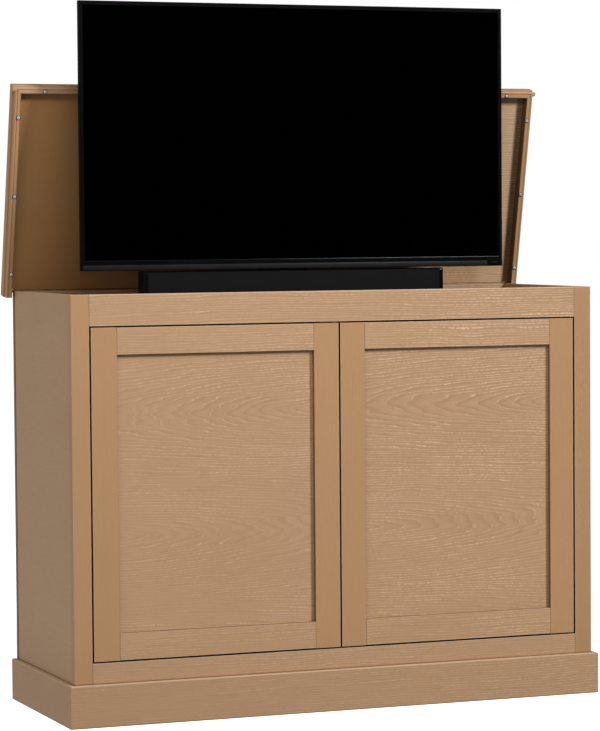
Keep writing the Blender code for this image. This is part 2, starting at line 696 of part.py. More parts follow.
def make_lift_carriage(group):
    rectangular_tube("lift_inner_tube", "powder_steel", group, LIFT_INNER, *LIFT_INNER_SPAN)
    top = LIFT_INNER_SPAN[1] + GAP
    front, back = TV_BACK + GAP, TV_BACK + GAP + BRACKET_PLATE
    plate = box(
        "tv_mount_bracket", "powder_steel", group,
        (-BRACKET_HALF_WIDTH, front, BRACKET_BOTTOM), (BRACKET_HALF_WIDTH, back, top + BRACKET_PLATE),
    )
    half_x, half_y = LIFT_INNER[0] / 2, LIFT_INNER[1] / 2
    flange = box(
        "tv_mount_flange_body", None, group,
        (-half_x, front + BRACKET_PLATE / 4, top), (half_x, LIFT_Y + half_y, top + BRACKET_FLANGE),
    )
    combine(plate, flange, "UNION")

    foot, thick = SOUNDBAR_TOP + GAP, SOUNDBAR_BRACKET_PLATE
    outline = [
        (front, foot),
        (SOUNDBAR_BRACKET_BACK, foot),
        (SOUNDBAR_BRACKET_BACK, foot + thick),
        (front + thick, foot + thick),
        (front + thick, SOUNDBAR_BRACKET_TOP),
        (front, SOUNDBAR_BRACKET_TOP),
    ]
    half = SOUNDBAR_BRACKET_HALF_WIDTH
    prism("soundbar_bracket", "powder_steel", group, "x", outline, -half, half)


def roller_centre():
    """Where a roller just touches the open lid's inner face."""
    along_lid = (ROLLER_HEIGHT - LID_PIVOT.z) / sin(LID_OPEN_ANGLE)
    face_y = LID_PIVOT.y - along_lid * cos(LID_OPEN_ANGLE) + GAP * sin(LID_OPEN_ANGLE)
    return face_y - (ROLLER_RADIUS + GAP) / sin(LID_OPEN_ANGLE), ROLLER_HEIGHT


def make_pusher(side, word, carriage):
    centre_y, centre_z = roller_centre()
    plate_back = TV_BACK + 2 * GAP + BRACKET_PLATE
    outline = [
        (plate_back, centre_z - PUSHER_ARM_DROP),
        (plate_back + PUSHER_ARM, centre_z - PUSHER_ARM_DROP),
        *arc((centre_y, centre_z), PUSHER_ARM_ROUND, -60, 90, 6),
        (plate_back, centre_z + PUSHER_ARM / 2),
    ]
    roller_half = ROLLER_LENGTH / 2
    outer = ROLLER_X - roller_half - PUSHER_ARM_GAP
    span = sorted((side * (outer - PUSHER_ARM), side * outer))
    arm = prism("pusher_arm_" + word, "powder_steel", carriage, "x", outline, *span)
    axle_ends = (outer - PUSHER_ARM / 2, ROLLER_X + roller_half + AXLE_PAST_ROLLER)
    origin = (min(side * end for end in axle_ends), centre_y, centre_z)
    length = axle_ends[1] - axle_ends[0]
    axle = rod(word + "_axle_core", None, carriage, AXLE_RADIUS, length, origin, "x", 20)
    combine(arm, axle, "UNION")


def make_roller(side, word, group):
    centre_y, centre_z = roller_centre()
    profile = [
        (ROLLER_BORE, 0),
        (ROLLER_RADIUS - ROLLER_SOFTEN, 0),
        (ROLLER_RADIUS, ROLLER_SOFTEN),
        (ROLLER_RADIUS, ROLLER_LENGTH - ROLLER_SOFTEN),
        (ROLLER_RADIUS - ROLLER_SOFTEN, ROLLER_LENGTH),
        (ROLLER_BORE, ROLLER_LENGTH),
    ]
    origin = (side * ROLLER_X - ROLLER_LENGTH / 2, centre_y, centre_z)
    turned("lid_roller_" + word, "rubber", group, profile, origin, "x", 24, ring=True)


# ---------------------------------------------------------------------- television and soundbar
def make_television(group):
    half = TV_WIDTH / 2
    front_corners = ("-x-y", "+x-y", "-y+z", "-y-z", "-x-z", "+x-z", "-x+z", "+x+z")
    bezel = box(
        "tv_bezel", "black_plastic", group,
        (-half, TV_FRONT, TV_BOTTOM), (half, TV_FRONT + TV_FRONT_SHELL, TV_TOP), eased=front_corners,
    )
    pocket_half = half - SCREEN_MARGIN
    pocket_low, pocket_high = TV_BOTTOM + SCREEN_CHIN, TV_TOP - SCREEN_MARGIN
    pocket = box(
        "tv_pocket_cutter", None, group,
        (-pocket_half, TV_FRONT - CUT_PAST, pocket_low),
        (pocket_half, TV_FRONT + SCREEN_POCKET, pocket_high),
    )
    combine(bezel, pocket, "DIFFERENCE")
    box(
        "tv_screen", "screen_glass", group,
        (-pocket_half + GAP, TV_FRONT + SCREEN_SUNK, pocket_low + GAP),
        (pocket_half - GAP, TV_FRONT + SCREEN_POCKET - GAP, pocket_high - GAP),
    )

    shell_front = TV_FRONT + TV_FRONT_SHELL + GAP
    shell_back = shell_front + TV_THIN_BACK
    inset = REAR_COVER_INSET
    rear = box(
        "tv_rear_cover", "black_plastic", group,
        (-half + inset, shell_front, TV_BOTTOM + inset), (half - inset, shell_back, TV_TOP - inset),
        eased=("-x+y", "+x+y", "+y+z", "+y-z"), ease=REAR_COVER_EASE,
    )
    wide, (low, high), taper = TV_BULGE_HALF_WIDTH, TV_BULGE_SPAN, TV_BULGE_TAPER
    bulge = [
        (wide, low, high, shell_front + TV_THIN_BACK / 4),
        (wide, low, high, shell_back),
        (wide - taper, low + taper, high - taper, TV_BACK),
    ]
    bm = bmesh.new()
    loops = [
        [bm.verts.new(corner) for corner in ((-x, y, low), (x, y, low), (x, y, high), (-x, y, high))]
        for x, low, high, y in bulge
    ]
    bm.faces.new(loops[0])
    bm.faces.new(loops[-1])
    for first, second in zip(loops, loops[1:]):
        for n in range(4):
            m = (n + 1) % 4
            bm.faces.new((first[n], first[m], second[m], second[n]))
    combine(rear, finish_object("tv_bulge_body", bm, None, group), "UNION")


def make_soundbar(group):
    half = SOUNDBAR_WIDTH / 2
    edges = [a + b for a, b in (("-x", "-y"), ("+x", "-y"), ("-x", "+y"), ("+x", "+y"))]
    edges += [a + b for a in ("-x", "+x", "-y", "+y") for b in ("-z", "+z")]
    box(
        "soundbar_body", "grille_cloth", group,
        (-half, SOUNDBAR_FRONT, SOUNDBAR_BOTTOM), (half, SOUNDBAR_FRONT + SOUNDBAR_DEPTH, SOUNDBAR_TOP),
        eased=edges, ease=SOUNDBAR_EASE,
    )


# ------------------------------------------------------------------------------------ assembly
SIDES = ((-1, "left"), (1, "right"))

clear_scene()
cabinet = empty("cabinet", (0, CABINET_Y, 0))
make_case()
make_back_panel()
make_face_frame()
make_plinth()

for side, word in SIDES:
    door_axis = (side * (OPENING_HALF - DOOR_GAP / 2), -DOOR_PIVOT_FRONT, 0)
    make_door(side, word, empty(word + "_door_axis", door_axis, cabinet))
    make_hinge_arms(side, word)
    plunger_axis = (side * LATCH_X, FRAME_BOARD, LATCH_HEIGHT)
    make_latch(side, word, empty(word + "_plunger_axis", plunger_axis, cabinet))

lid_axis = empty("lid_axis", LID_PIVOT, cabinet)
make_lid(lid_axis)
make_lid_hinge(lid_axis)

make_lift_base()
make_lift_middle(empty("lift_middle_axis", (0, LIFT_Y, 0), cabinet))
make_spindle(empty("spindle_axis", (0, LIFT_Y, 0), cabinet))
carriage_axis = empty("tv_carriage_axis", (0, LIFT_Y, 0), cabinet)
make_lift_carriage(carriage_axis)
make_television(carriage_axis)
make_soundbar(carriage_axis)
for side, word in SIDES:
    make_pusher(side, word, carriage_axis)
    roller_axis = empty(word + "_roller_axis", (side * ROLLER_X, *roller_centre()), cabinet)
    make_roller(side, word, roller_axis)

lid_axis.rotation_euler.x = -LID_OPEN_ANGLE
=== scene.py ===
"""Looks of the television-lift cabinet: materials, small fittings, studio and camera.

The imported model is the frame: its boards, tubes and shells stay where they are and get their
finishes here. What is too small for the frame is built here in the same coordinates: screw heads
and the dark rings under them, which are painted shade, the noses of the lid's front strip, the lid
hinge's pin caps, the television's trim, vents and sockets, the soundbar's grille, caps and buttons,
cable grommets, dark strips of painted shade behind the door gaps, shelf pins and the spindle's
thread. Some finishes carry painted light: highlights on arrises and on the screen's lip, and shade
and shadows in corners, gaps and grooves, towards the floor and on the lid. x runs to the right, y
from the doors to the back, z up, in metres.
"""

import json
from math import cos, pi, radians, sin

import bmesh
import bpy
from mathutils import Matrix, Vector

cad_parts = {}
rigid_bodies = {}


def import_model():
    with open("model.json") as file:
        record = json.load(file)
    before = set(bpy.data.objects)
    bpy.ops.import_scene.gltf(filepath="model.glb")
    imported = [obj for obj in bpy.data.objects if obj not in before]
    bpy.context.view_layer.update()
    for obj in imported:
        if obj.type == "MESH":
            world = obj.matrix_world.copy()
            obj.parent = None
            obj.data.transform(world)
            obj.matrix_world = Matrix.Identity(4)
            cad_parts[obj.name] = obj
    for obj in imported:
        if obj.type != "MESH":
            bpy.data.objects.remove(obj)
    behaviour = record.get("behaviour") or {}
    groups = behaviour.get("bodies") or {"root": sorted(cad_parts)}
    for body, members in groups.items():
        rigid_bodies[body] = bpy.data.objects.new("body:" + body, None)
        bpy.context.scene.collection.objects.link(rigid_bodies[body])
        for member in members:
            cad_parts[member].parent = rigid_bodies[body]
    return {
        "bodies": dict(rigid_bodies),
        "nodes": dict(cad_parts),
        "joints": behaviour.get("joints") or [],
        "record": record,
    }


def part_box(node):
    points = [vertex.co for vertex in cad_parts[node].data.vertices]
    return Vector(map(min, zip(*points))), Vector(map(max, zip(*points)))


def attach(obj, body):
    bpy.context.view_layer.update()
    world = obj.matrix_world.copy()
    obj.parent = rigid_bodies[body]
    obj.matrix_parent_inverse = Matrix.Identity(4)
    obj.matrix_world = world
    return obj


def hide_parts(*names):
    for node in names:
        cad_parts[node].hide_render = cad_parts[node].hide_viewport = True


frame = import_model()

NODES = frame["nodes"]
BODIES = frame["bodies"]
JOINTS = {joint["name"]: joint for joint in frame["joints"]}
SIDES = ((-1, "left"), (1, "right"))
BACKWARDS = (0, 1, 0)
LID_OPEN = radians(78)  # how far the lid stands open at rest
LID_PIVOT = Vector(JOINTS["lid_hinge"]["pos_m"])
LID_PLACE = Matrix.Translation(LID_PIVOT) @ Matrix.Rotation(-LID_OPEN, 4, "X")
LID_FRONT_OUT = 0.4965  # from the hinge axis to the front moulding's inner face

for leftover in list(bpy.data.objects):
    if leftover not in NODES.values() and leftover not in BODIES.values():
        bpy.data.objects.remove(leftover, do_unlink=True)

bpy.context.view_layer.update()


# ------------------------------------------------------------------------------ colour and nodes
def linear(red, green, blue):
    """A display colour, 0 to 255, as the linear colour that shaders take."""
    parts = [value / 255 for value in (red, green, blue)]
    return tuple(v / 12.92 if v <= 0.04045 else ((v + 0.055) / 1.055) ** 2.4 for v in parts) + (1,)


class Finish:
    """A Principled material whose patterns are written as short expressions."""

    def __init__(self, name, roughness, metallic=0.0):
        self.material = bpy.data.materials.new(name)
        self.material.use_nodes = True
        self.tree = self.material.node_tree
        self.shader = self.tree.nodes["Principled BSDF"]
        self.shader.inputs["Roughness"].default_value = roughness
        self.shader.inputs["Metallic"].default_value = metallic

    def put(self, socket, value):
        if isinstance(value, bpy.types.NodeSocket):
            self.tree.links.new(value, socket)
        else:
            socket.default_value = value

    def node(self, kind, inputs=None, **settings):
        made = self.tree.nodes.new(kind)
        for key, value in settings.items():
            setattr(made, key, value)
        for key, value in (inputs or {}).items():
            self.put(made.inputs[key], value)
        return made

    def math(self, operation, first, second=0.0, third=0.0, clamp=False):
        inputs = {0: first, 1: second, 2: third}
        return self.node("ShaderNodeMath", inputs, operation=operation, use_clamp=clamp).outputs[0]

    def product(self, first, second, clamp=False):
        return self.math("MULTIPLY", first, second, clamp=clamp)

    def distance(self, value, place):
        return self.math("ABSOLUTE", self.math("SUBTRACT", value, place))

    def ramp(self, value, low, high, to_low=0.0, to_high=1.0):
        """value taken smoothly from low..high to to_low..to_high, and held at both ends."""
        inputs = {"Value": value, "From Min": low, "From Max": high, "To Min": to_low, "To Max": to_high}
        return self.node("ShaderNodeMapRange", inputs, interpolation_type="SMOOTHSTEP").outputs["Result"]

    def combine(self, x, y, z):
        return self.node("ShaderNodeCombineXYZ", {"X": x, "Y": y, "Z": z}).outputs[0]

    def place(self):
        """Where a point lies on its piece: the frame's own coordinates."""
        return self.node("ShaderNodeTexCoord").outputs["Object"]

    def axes(self, turn=0.0):
        """The piece's own x, y and z, after a turn about x that lays the open lid flat."""
        place = self.place()
        if turn:
            place = self.node("ShaderNodeMapping", {"Vector": place, "Rotation": (turn, 0, 0)}).outputs[0]
        parts = self.node("ShaderNodeSeparateXYZ", {0: place}).outputs
        return {"x": parts[0], "y": parts[1], "z": parts[2]}

    def noise(self, vector, scale=1.0, detail=2.0, roughness=0.5):
        inputs = {"Vector": vector, "Scale": scale, "Detail": detail, "Roughness": roughness}
        return self.node("ShaderNodeTexNoise", inputs).outputs["Fac"]

    def spots(self, scale):
        inputs = {"Vector": self.place(), "Scale": scale}
        return self.node("ShaderNodeTexVoronoi", inputs).outputs["Distance"]

    def mix(self, factor, first, second):
        made = self.node("ShaderNodeMix", {0: factor, 6: first, 7: second}, data_type="RGBA")
        return made.outputs[2]

    def colour(self, value):
        self.put(self.shader.inputs["Base Color"], value)

    def rough(self, value):
        self.put(self.shader.inputs["Roughness"], value)

    def bump(self, height, distance, strength=1.0):
        inputs = {"Height": height, "Distance": distance, "Strength": strength}
        self.put(self.shader.inputs["Normal"], self.node("ShaderNodeBump", inputs).outputs[0])

    def set(self, **sockets):
        for key, value in sockets.items():
            self.shader.inputs[key.replace("_", " ")].default_value = value
        return self.material


# -------------------------------------------------------------------------------------- finishes
OAK_TONES = {  # base, limed pores, late wood
    "across": (linear(197, 158, 121), linear(226, 195, 160), linear(176, 137, 101)),
    "upright": (linear(190, 148, 106), linear(204, 166, 127), linear(180, 137, 96)),
}
# Painted shade: the dark tone on the narrow sides and arrises along the gaps around the doors.
GAP_SHADE = linear(30, 23, 16)
PAINTED_SHADE = linear(104, 76, 46)  # painted shade, for corners, grooves, the foot and the darker ends of the lid and the uprights
LID_PAINTED_SHADOW = linear(180, 129, 77)  # painted shadow: the lid darkens towards the left, in the television's shadow
PLINTH_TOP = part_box("plinth_front")[1].z
SIDE_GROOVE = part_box("back_panel")[0].y - 0.0095  # middle of the fine upright groove in the sides, which gets painted shade
RING = 0.0060  # spacing of the growth rings, metres
HEART_HEIGHT, HEART_SPACING = 0.441, 0.290  # of the cathedral figures
HEART_DEPTH, HEART_TAPER = 0.034, 0.115  # how deep a heart lies, and how it slants along the grain
HEART_LEAST_SLOPE = 0.14  # of the rings right above a heart
JOINT_HEIGHT = 0.586  # above it the cathedrals point the other way
FACE = 0.0005  # what still counts as lying in a flat face
BOARD_ROUGHNESS, PORE_ROUGHNESS = 0.48, 0.12  # and how much more in the pores
FIBRE_RELIEF, RELIEF = 0.35, 0.00010  # of the fibres next to the pores, and of the pores in metres

# Patterns: cycles per metre along the grain and across it, then detail, roughness, shift of the noise.
WANDER_PATTERN = (1.3, 3.0)
DASH_PATTERN = (130.0, 300.0)
PORE_PATTERN = (140.0, 1100.0, 2.0, 0.6, 2.0)
FIBRE_PATTERN = (22.0, 480.0, 3.0, 0.65, 3.0)
FAINT_PATTERN = (4.0, 12.0, 2.0, 0.5, 4.0)
CLOUD_PATTERN = (2.5, 7.0, 2.0, 0.5, 5.0)
STRAIGHT_WANDER, HEART_WANDER = 0.030, 0.050  # how far the rings wander, metres
RIPPLES = (  # pattern, and how far it moves the rings, metres
    ((9.0, 24.0), 0.0070),
    ((30.0, 50.0), 0.0026),
    ((2.4, 62.0, 2.0, 0.5, 6.0), 0.0110),
)

# Ramps: low and high end of a value, and what it is taken to there, which is 0 and 1 if not said.
# These are of a share of a ring, of how steep the rings are, and of patterns.
EARLY_WOOD_STARTS = (0.0, 0.12)
EARLY_WOOD_ENDS = (0.16, 0.44, 1.0, 0.0)
LATE_WOOD = (0.45, 0.95)
STEEP_RINGS = (0.30, 0.90, 0.55, 1.0)  # fewer pores where the rings run flat under the surface
DASHES = (0.32, 0.66)
PORES = (0.30, 0.60, 0.45, 1.0)
FAINT_PATCHES = (0.36, 0.62, 0.35, 1.0)
FIBRES = (0.38, 0.68)
CLOUDS = (0.35, 0.70)
FIBRE_SHARE, LATE_SHARE, CLOUD_SHARE = 0.34, 0.42, 0.18  # how much each darkens the board
SHADED_SIDE = 0.8  # how much painted shade covers a narrow side in a corner
DULL, DULL_SHADED, VIVID = 0.62, 0.20, 1.40  # how the liming stands out at the left, there in the lid's painted shadow, and at the right

# And these are of places and distances, in metres.
VIVID_SIDEWAYS = (-0.6, 0.6)
VIVID_UPWARDS = (0.30, 0.95, 0.85, 1.35)
# The lid's painted shadow at the left, painted light at the right, and painted shade in its right corner.
LID_SHADOW_END = (-0.50, 0.30)
LID_LIT_END = (0.57, 0.61, 0.0, 0.60)
LID_CORNER_SHADE_END = (0.658, 0.667, 0.0, 0.95)
# Painted shade towards the right of the uprights.
UPRIGHTS_SHADED_END = (0.60, 0.65, 0.0, 0.12)
# A painted highlight along an arris.
ARRIS_HIGHLIGHT = (0.0010, 0.0026, 0.70, 0.0)
# Painted shade running from a lid corner onto the face.
SHADED_BAND = (0.0006, 0.0034, 0.50, 0.0)
# Painted shade in the side groove.
GROOVE_SHADE = (0.0035, 0.0055, 0.85, 0.0)
# Painted shade on a gap's side and on its arris.
GAP_SHADE_STARTS = (0.0004, 0.0014)
GAP_SHADE_ARRIS = (0.0005, 0.0011, 0.85, 0.0)
# Painted contact shadows above the plinth and at the foot, and painted shade towards the floor.
PLINTH_TOP_SHADOW = (PLINTH_TOP, PLINTH_TOP + 0.0050, 0.85, 0.0)
FOOT_SHADOW = (0.0005, 0.0030, 0.75, 0.0)
SHADE_TOWARDS_FLOOR = (0.08, 0.22, 0.11, 0.0)


class Oak(Finish):
    """Limed oak laminate. order names the axes along the grain, across it and into the board.

    turn lays the open lid flat, so that its boards are described as if it were closed.
    """

    def __init__(self, name, order, tone, seed, turn=0.0):
        super().__init__(name, 0.5)
        self.on_lid = turn != 0.0
        self.axis = self.axes(turn)
        self.along, self.across, self.depth = (self.axis[letter] for letter in order)
        self.shade, self.limed, self.late = OAK_TONES[tone]
        self.upright = tone == "upright"
        self.seed = seed

    def pattern(self, length, width, detail=2.0, roughness=0.5, shift=0.0, cross=None):
        """Noise drawn out along the grain. cross takes the place of the axis across it."""
        cross = self.across if cross is None else cross
        stretched = self.product(self.along, length), self.product(cross, width)
        return self.noise(self.combine(*stretched, self.seed + shift), 1, detail, roughness)

    def layer(self, amount, tone):
        """Lay a tone over what the board has so far."""
        self.shade = self.mix(amount, self.shade, tone)

    def straight_rings(self):
        """Distance through the growth rings, which leave the surface steeply everywhere."""
        through = self.math("ADD", self.across, self.depth)
        return self.math("MULTIPLY_ADD", self.pattern(*WANDER_PATTERN), STRAIGHT_WANDER, through)

    def cathedral_rings(self, centre):
        """Distance from the nearest heart, and how steeply the rings leave the surface.

        The rings are cut at a slant, so they close into arches around each heart.
        """
        height = self.math("SUBTRACT", self.across, HEART_HEIGHT)
        from_heart = self.math("PINGPONG", height, HEART_SPACING / 2)
        over_joint = self.math("GREATER_THAN", self.across, JOINT_HEIGHT)
        taper = self.math("MULTIPLY_ADD", over_joint, -2 * HEART_TAPER, HEART_TAPER)
        deep = self.math("MULTIPLY_ADD", taper, self.math("SUBTRACT", self.along, centre), HEART_DEPTH)
        stray = self.math("SUBTRACT", self.pattern(*WANDER_PATTERN), 0.5)
        deep = self.math("ADD", deep, self.product(stray, HEART_WANDER))
        squares = self.math("ADD", self.math("POWER", from_heart, 2.0), self.math("POWER", deep, 2.0))
        radius = self.math("SQRT", squares)
        slope = self.math("DIVIDE", from_heart, radius)
        return radius, self.math("MULTIPLY_ADD", slope, 1 - HEART_LEAST_SLOPE, HEART_LEAST_SLOPE)

    def open_pores(self, ring, slope, radius, arched):
        """Where the limed pores lie: in dashes, in the early wood of each ring, in patches."""
        # The slope keeps the lines equally fine where the rings run out of the surface.
        line = self.math("DIVIDE", ring, slope)
        early = self.product(self.ramp(line, *EARLY_WOOD_STARTS), self.ramp(line, *EARLY_WOOD_ENDS))
        if arched:
            early = self.product(early, self.ramp(slope, *STEEP_RINGS))
        dashes = self.ramp(self.pattern(*DASH_PATTERN, cross=radius), *DASHES)
        pores = self.ramp(self.pattern(*PORE_PATTERN, cross=radius), *PORES)
        faint = self.ramp(self.pattern(*FAINT_PATTERN), *FAINT_PATCHES)
        return self.product(self.product(pores, dashes), self.product(early, faint))

    def liming(self, strength, shaded):
        """How much the liming stands out: more to the right, and more towards the case's top."""
        dull = DULL_SHADED if shaded else DULL
        vivid = self.ramp(self.axis["x"], *VIVID_SIDEWAYS, dull * strength, VIVID * strength)
        if self.on_lid:
            return vivid
        return self.product(vivid, self.ramp(self.axis["z"], *VIVID_UPWARDS))

    def shade_lid(self):
        """Painted light on the lid: a painted shadow to the left, painted light at the right, painted shade
        in the corner there.
        """
        x = self.axis["x"]
        self.shade = self.mix(self.ramp(x, *LID_SHADOW_END), LID_PAINTED_SHADOW, self.shade)
        self.layer(self.ramp(x, *LID_LIT_END), self.limed)
        self.layer(self.ramp(x, *LID_CORNER_SHADE_END), PAINTED_SHADE)

    def grow(self, strength, centre=None, shaded=False):
        """Colour the board. strength is how much its pores stand out.

        centre is where cathedral figures are centred along the grain; None gives straight grain.
        """
        radius, slope = (self.straight_rings(), 1.0) if centre is None else self.cathedral_rings(centre)
        for pattern, size in RIPPLES:
            radius = self.math("MULTIPLY_ADD", self.pattern(*pattern), size, radius)
        ring = self.math("FRACT", self.math("DIVIDE", radius, RING))
        pores = self.open_pores(ring, slope, radius, centre is not None)
        fibre = self.pattern(*FIBRE_PATTERN, cross=radius)
        cloud = self.pattern(*CLOUD_PATTERN)
        vivid = self.liming(strength, shaded)
        # Painted shadow and painted light on the lid panel.
        if shaded:
            self.shade_lid()
        # Painted shade towards the right of the uprights.
        if self.upright and not self.on_lid:
            self.layer(self.ramp(self.axis["x"], *UPRIGHTS_SHADED_END), PAINTED_SHADE)
        self.layer(self.product(self.ramp(fibre, *FIBRES), FIBRE_SHARE), self.late)
        self.layer(self.product(self.ramp(ring, *LATE_WOOD), self.product(vivid, LATE_SHARE)), self.late)
        self.layer(self.product(self.ramp(cloud, *CLOUDS), CLOUD_SHARE), self.late)
        self.layer(self.product(pores, vivid, clamp=True), self.limed)
        self.rough(self.math("MULTIPLY_ADD", pores, PORE_ROUGHNESS, BOARD_ROUGHNESS))
        self.bump(self.math("MULTIPLY_ADD", fibre, FIBRE_RELIEF, pores), RELIEF, 0.5)

    def paint_arris_highlight(self, letter, place):
        """A painted highlight along an arris, where it catches the light."""
        away = self.distance(self.axis[letter], place)
        self.layer(self.ramp(away, *ARRIS_HIGHLIGHT), self.limed)

    def shade_corner(self, letter, place):
        """Painted shade on a narrow side in a corner; on the lid it runs out onto the face as well."""
        on_side = self.math("COMPARE", self.axis[letter], place, FACE)
        self.layer(self.product(on_side, SHADED_SIDE), PAINTED_SHADE)
        if self.on_lid:
            away = self.distance(self.axis[letter], place)
            self.layer(self.ramp(away, *SHADED_BAND), PAINTED_SHADE)

    def shade_gap_side(self, letter, place, front):
        """Painted shade on a narrow side along a gap, from just behind the front face, and on its front
        arris.
        """
        on_side = self.math("COMPARE", self.axis[letter], place, FACE)
        behind = self.ramp(self.math("SUBTRACT", self.axis["y"], front), *GAP_SHADE_STARTS)
        self.layer(self.product(on_side, behind), GAP_SHADE)
        away = self.distance(self.axis[letter], place)
        self.layer(self.ramp(away, *GAP_SHADE_ARRIS), GAP_SHADE)

    def paint_floor_shade(self):
        """Painted shade towards the floor, and painted contact shadows just above the plinth and at its
        foot.
        """
        height = self.axis["z"]
        over_plinth = self.math("GREATER_THAN", height, PLINTH_TOP + 0.0001)
        over_plinth = self.product(over_plinth, self.ramp(height, *PLINTH_TOP_SHADOW))
        on_floor = self.ramp(height, *FOOT_SHADOW)
        self.layer(self.ramp(height, *SHADE_TOWARDS_FLOOR), PAINTED_SHADE)
        self.layer(self.math("ADD", over_plinth, on_floor), PAINTED_SHADE)

    def shade_groove(self):
        # painted shade in the side groove
        away = self.distance(self.axis["y"], SIDE_GROOVE)
        self.layer(self.ramp(away, *GROOVE_SHADE), PAINTED_SHADE)

    def done(self):
        self.colour(self.shade)
        return self.set(Specular_IOR_Level=0.30)


def hardboard():
    board = Finish("back_hardboard", 0.8)
    fibres = board.noise(board.place(), 420, 4, 0.7)
    flakes = board.noise(board.place(), 38, 3, 0.6)
    shade = board.mix(board.ramp(fibres, 0.35, 0.7), linear(46, 38, 31), linear(66, 55, 45))
    shade = board.mix(board.product(board.ramp(flakes, 0.4, 0.7), 0.4), shade, linear(36, 30, 25))
    board.colour(shade)
    board.bump(fibres, 0.0003, 0.7)
    return board.material


def metal(name, light, dark, roughness, grain=(900, 60, 60), metallic=1.0):
    """Plated or rolled metal with dull patches.

    grain is how fine the brushing is along x, y and z; it runs across the finest of them.
    """
    made = Finish(name, roughness, metallic)
    axis = made.axes()
    stretched = made.combine(*(made.product(axis[letter], scale) for letter, scale in zip("xyz", grain)))
    brushing = made.noise(stretched, 1, 3, 0.6)
    patches = made.noise(made.place(), 45, 3, 0.6)
    made.colour(made.mix(made.ramp(patches, 0.38, 0.68), light, dark))
    made.rough(made.math("ADD", made.product(brushing, 0.18), roughness - 0.06))
    made.bump(brushing, 0.00004, 0.5)
    return made.material


def moulded(name, tone, worn, roughness, grain=1400, bump=0.00008, **sockets):
    """Moulded plastic or powder coat: a fine pimpled skin with faint handling marks."""
    made = Finish(name, roughness)
    skin = made.spots(grain)
    marks = made.noise(made.place(), 18, 4, 0.6)
    made.colour(made.mix(made.ramp(marks, 0.42, 0.72), tone, worn))
    made.rough(made.math("MULTIPLY_ADD", marks, 0.14, roughness - 0.07))
    made.bump(skin, bump, 0.5)
    return made.set(**sockets)


THREAD = 0.0011  # spacing of the cloth's threads, metres
PIXEL = 0.0009  # and of the screen's grid


def grille_cloth():
    """Tight knitted cloth: two crossing sets of threads, half a step apart in each row."""
    cloth = Finish("grille_cloth", 0.9)
    axis = cloth.axes()
    turns = 2 * pi / THREAD
    rows = cloth.math("SINE", cloth.product(axis["z"], turns))
    columns = cloth.math("SINE", cloth.product(cloth.math("ADD", axis["x"], axis["y"]), turns))
    weave = cloth.math("MULTIPLY_ADD", rows, columns, 1.0)
    fuzz = cloth.noise(cloth.place(), 300, 3, 0.6)
    height = cloth.math("MULTIPLY_ADD", fuzz, 0.6, weave)
    cloth.colour(cloth.mix(cloth.ramp(height, 0.4, 2.2), linear(7, 7, 8), linear(30, 30, 31)))
    cloth.bump(height, 0.00025, 0.8)
    return cloth.set(Sheen_Weight=0.04, Sheen_Roughness=0.5, Specular_IOR_Level=0.12)


def screen_panel():
    """A switched-off matt panel: black, with the faintest pixel grid and a low sheen."""
    panel = Finish("screen_panel", 0.30)
    axis = panel.axes()
    grid = panel.math("SINE", panel.product(axis["x"], 2 * pi / PIXEL))
    black, mesh = (0.00005, 0.00005, 0.00005, 1), (0.00015, 0.00015, 0.0002, 1)
    panel.colour(panel.mix(panel.ramp(grid, 0.6, 1.0), black, mesh))
    smudge = panel.noise(panel.place(), 6, 3, 0.6)
    panel.rough(panel.math("MULTIPLY_ADD", smudge, 0.06, 0.22))
    return panel.set(Specular_IOR_Level=0.001)


def screen_lip_highlight():
    """The thin lip under the screen, in a satin grey coat, with a painted highlight that brightens it
    towards the right.
    """
    lip = Finish("screen_lip_highlight", 0.32)
    scuffs = lip.noise(lip.place(), 60, 3, 0.6)
    bright = lip.mix(lip.ramp(scuffs, 0.35, 0.7), linear(120, 122, 126), linear(96, 98, 102))
    # Painted highlight, brightening towards the right.
    lip.colour(lip.mix(lip.ramp(lip.axes()["x"], -0.30, 0.45), linear(14, 14, 15), bright))
    lip.bump(scuffs, 0.00003, 0.4)
    return lip.set(Specular_IOR_Level=0.2)


FINISHES = {
    "back_board": hardboard(),
    "hinge_brass": metal("dull_bronze", linear(138, 108, 70), linear(112, 86, 54), 0.50, metallic=0.4),
    "hinge_nickel": metal("nickel_plate", linear(206, 205, 202), linear(170, 169, 167), 0.24),
    "lid_screws": metal(
        "zinc_screw_heads", linear(250, 250, 252), linear(228, 228, 231), 0.26,
        (300, 300, 300), metallic=0.12,
    ),
    "latch_plastic": moulded("latch_plastic", linear(44, 44, 46), linear(56, 56, 58), 0.45),
    "lift_steel": moulded("powder_coat", linear(36, 36, 38), linear(46, 46, 48), 0.42, 900, 0.00012),
    "spindle_steel": metal(
        "rolled_steel", linear(190, 190, 192), linear(140, 141, 144), 0.28, (60, 60, 900)
    ),
    "roller_rubber": moulded("roller_rubber", linear(30, 30, 30), linear(44, 43, 42), 0.8, 1800, 0.0001),
    "tv_bezel_plastic": moulded(
        "bezel_plastic", linear(9, 9, 10), linear(12, 12, 13), 0.36, 1900, 0.00003, Specular_IOR_Level=0.04
    ),
    "tv_rear_plastic": moulded("rear_plastic", linear(26, 26, 27), linear(34, 34, 35), 0.55, 1100, 0.00015),
    "tv_screen": screen_panel(),
    "soundbar_cloth": grille_cloth(),
    "soundbar_gloss": moulded(
        "cap_gloss", linear(10, 10, 11), linear(13, 13, 14), 0.16, 700, 0.00001, Specular_IOR_Level=0.10
    ),
}
CHIN_STRIP = moulded(
    "chin_strip", linear(32, 32, 34), linear(36, 36, 38), 0.40, 1900, 0.00003, Specular_IOR_Level=0.10
)
SCREEN_LIP = screen_lip_highlight()
SOCKET_METAL = metal("socket_metal", linear(150, 150, 152), linear(110, 110, 113), 0.35)

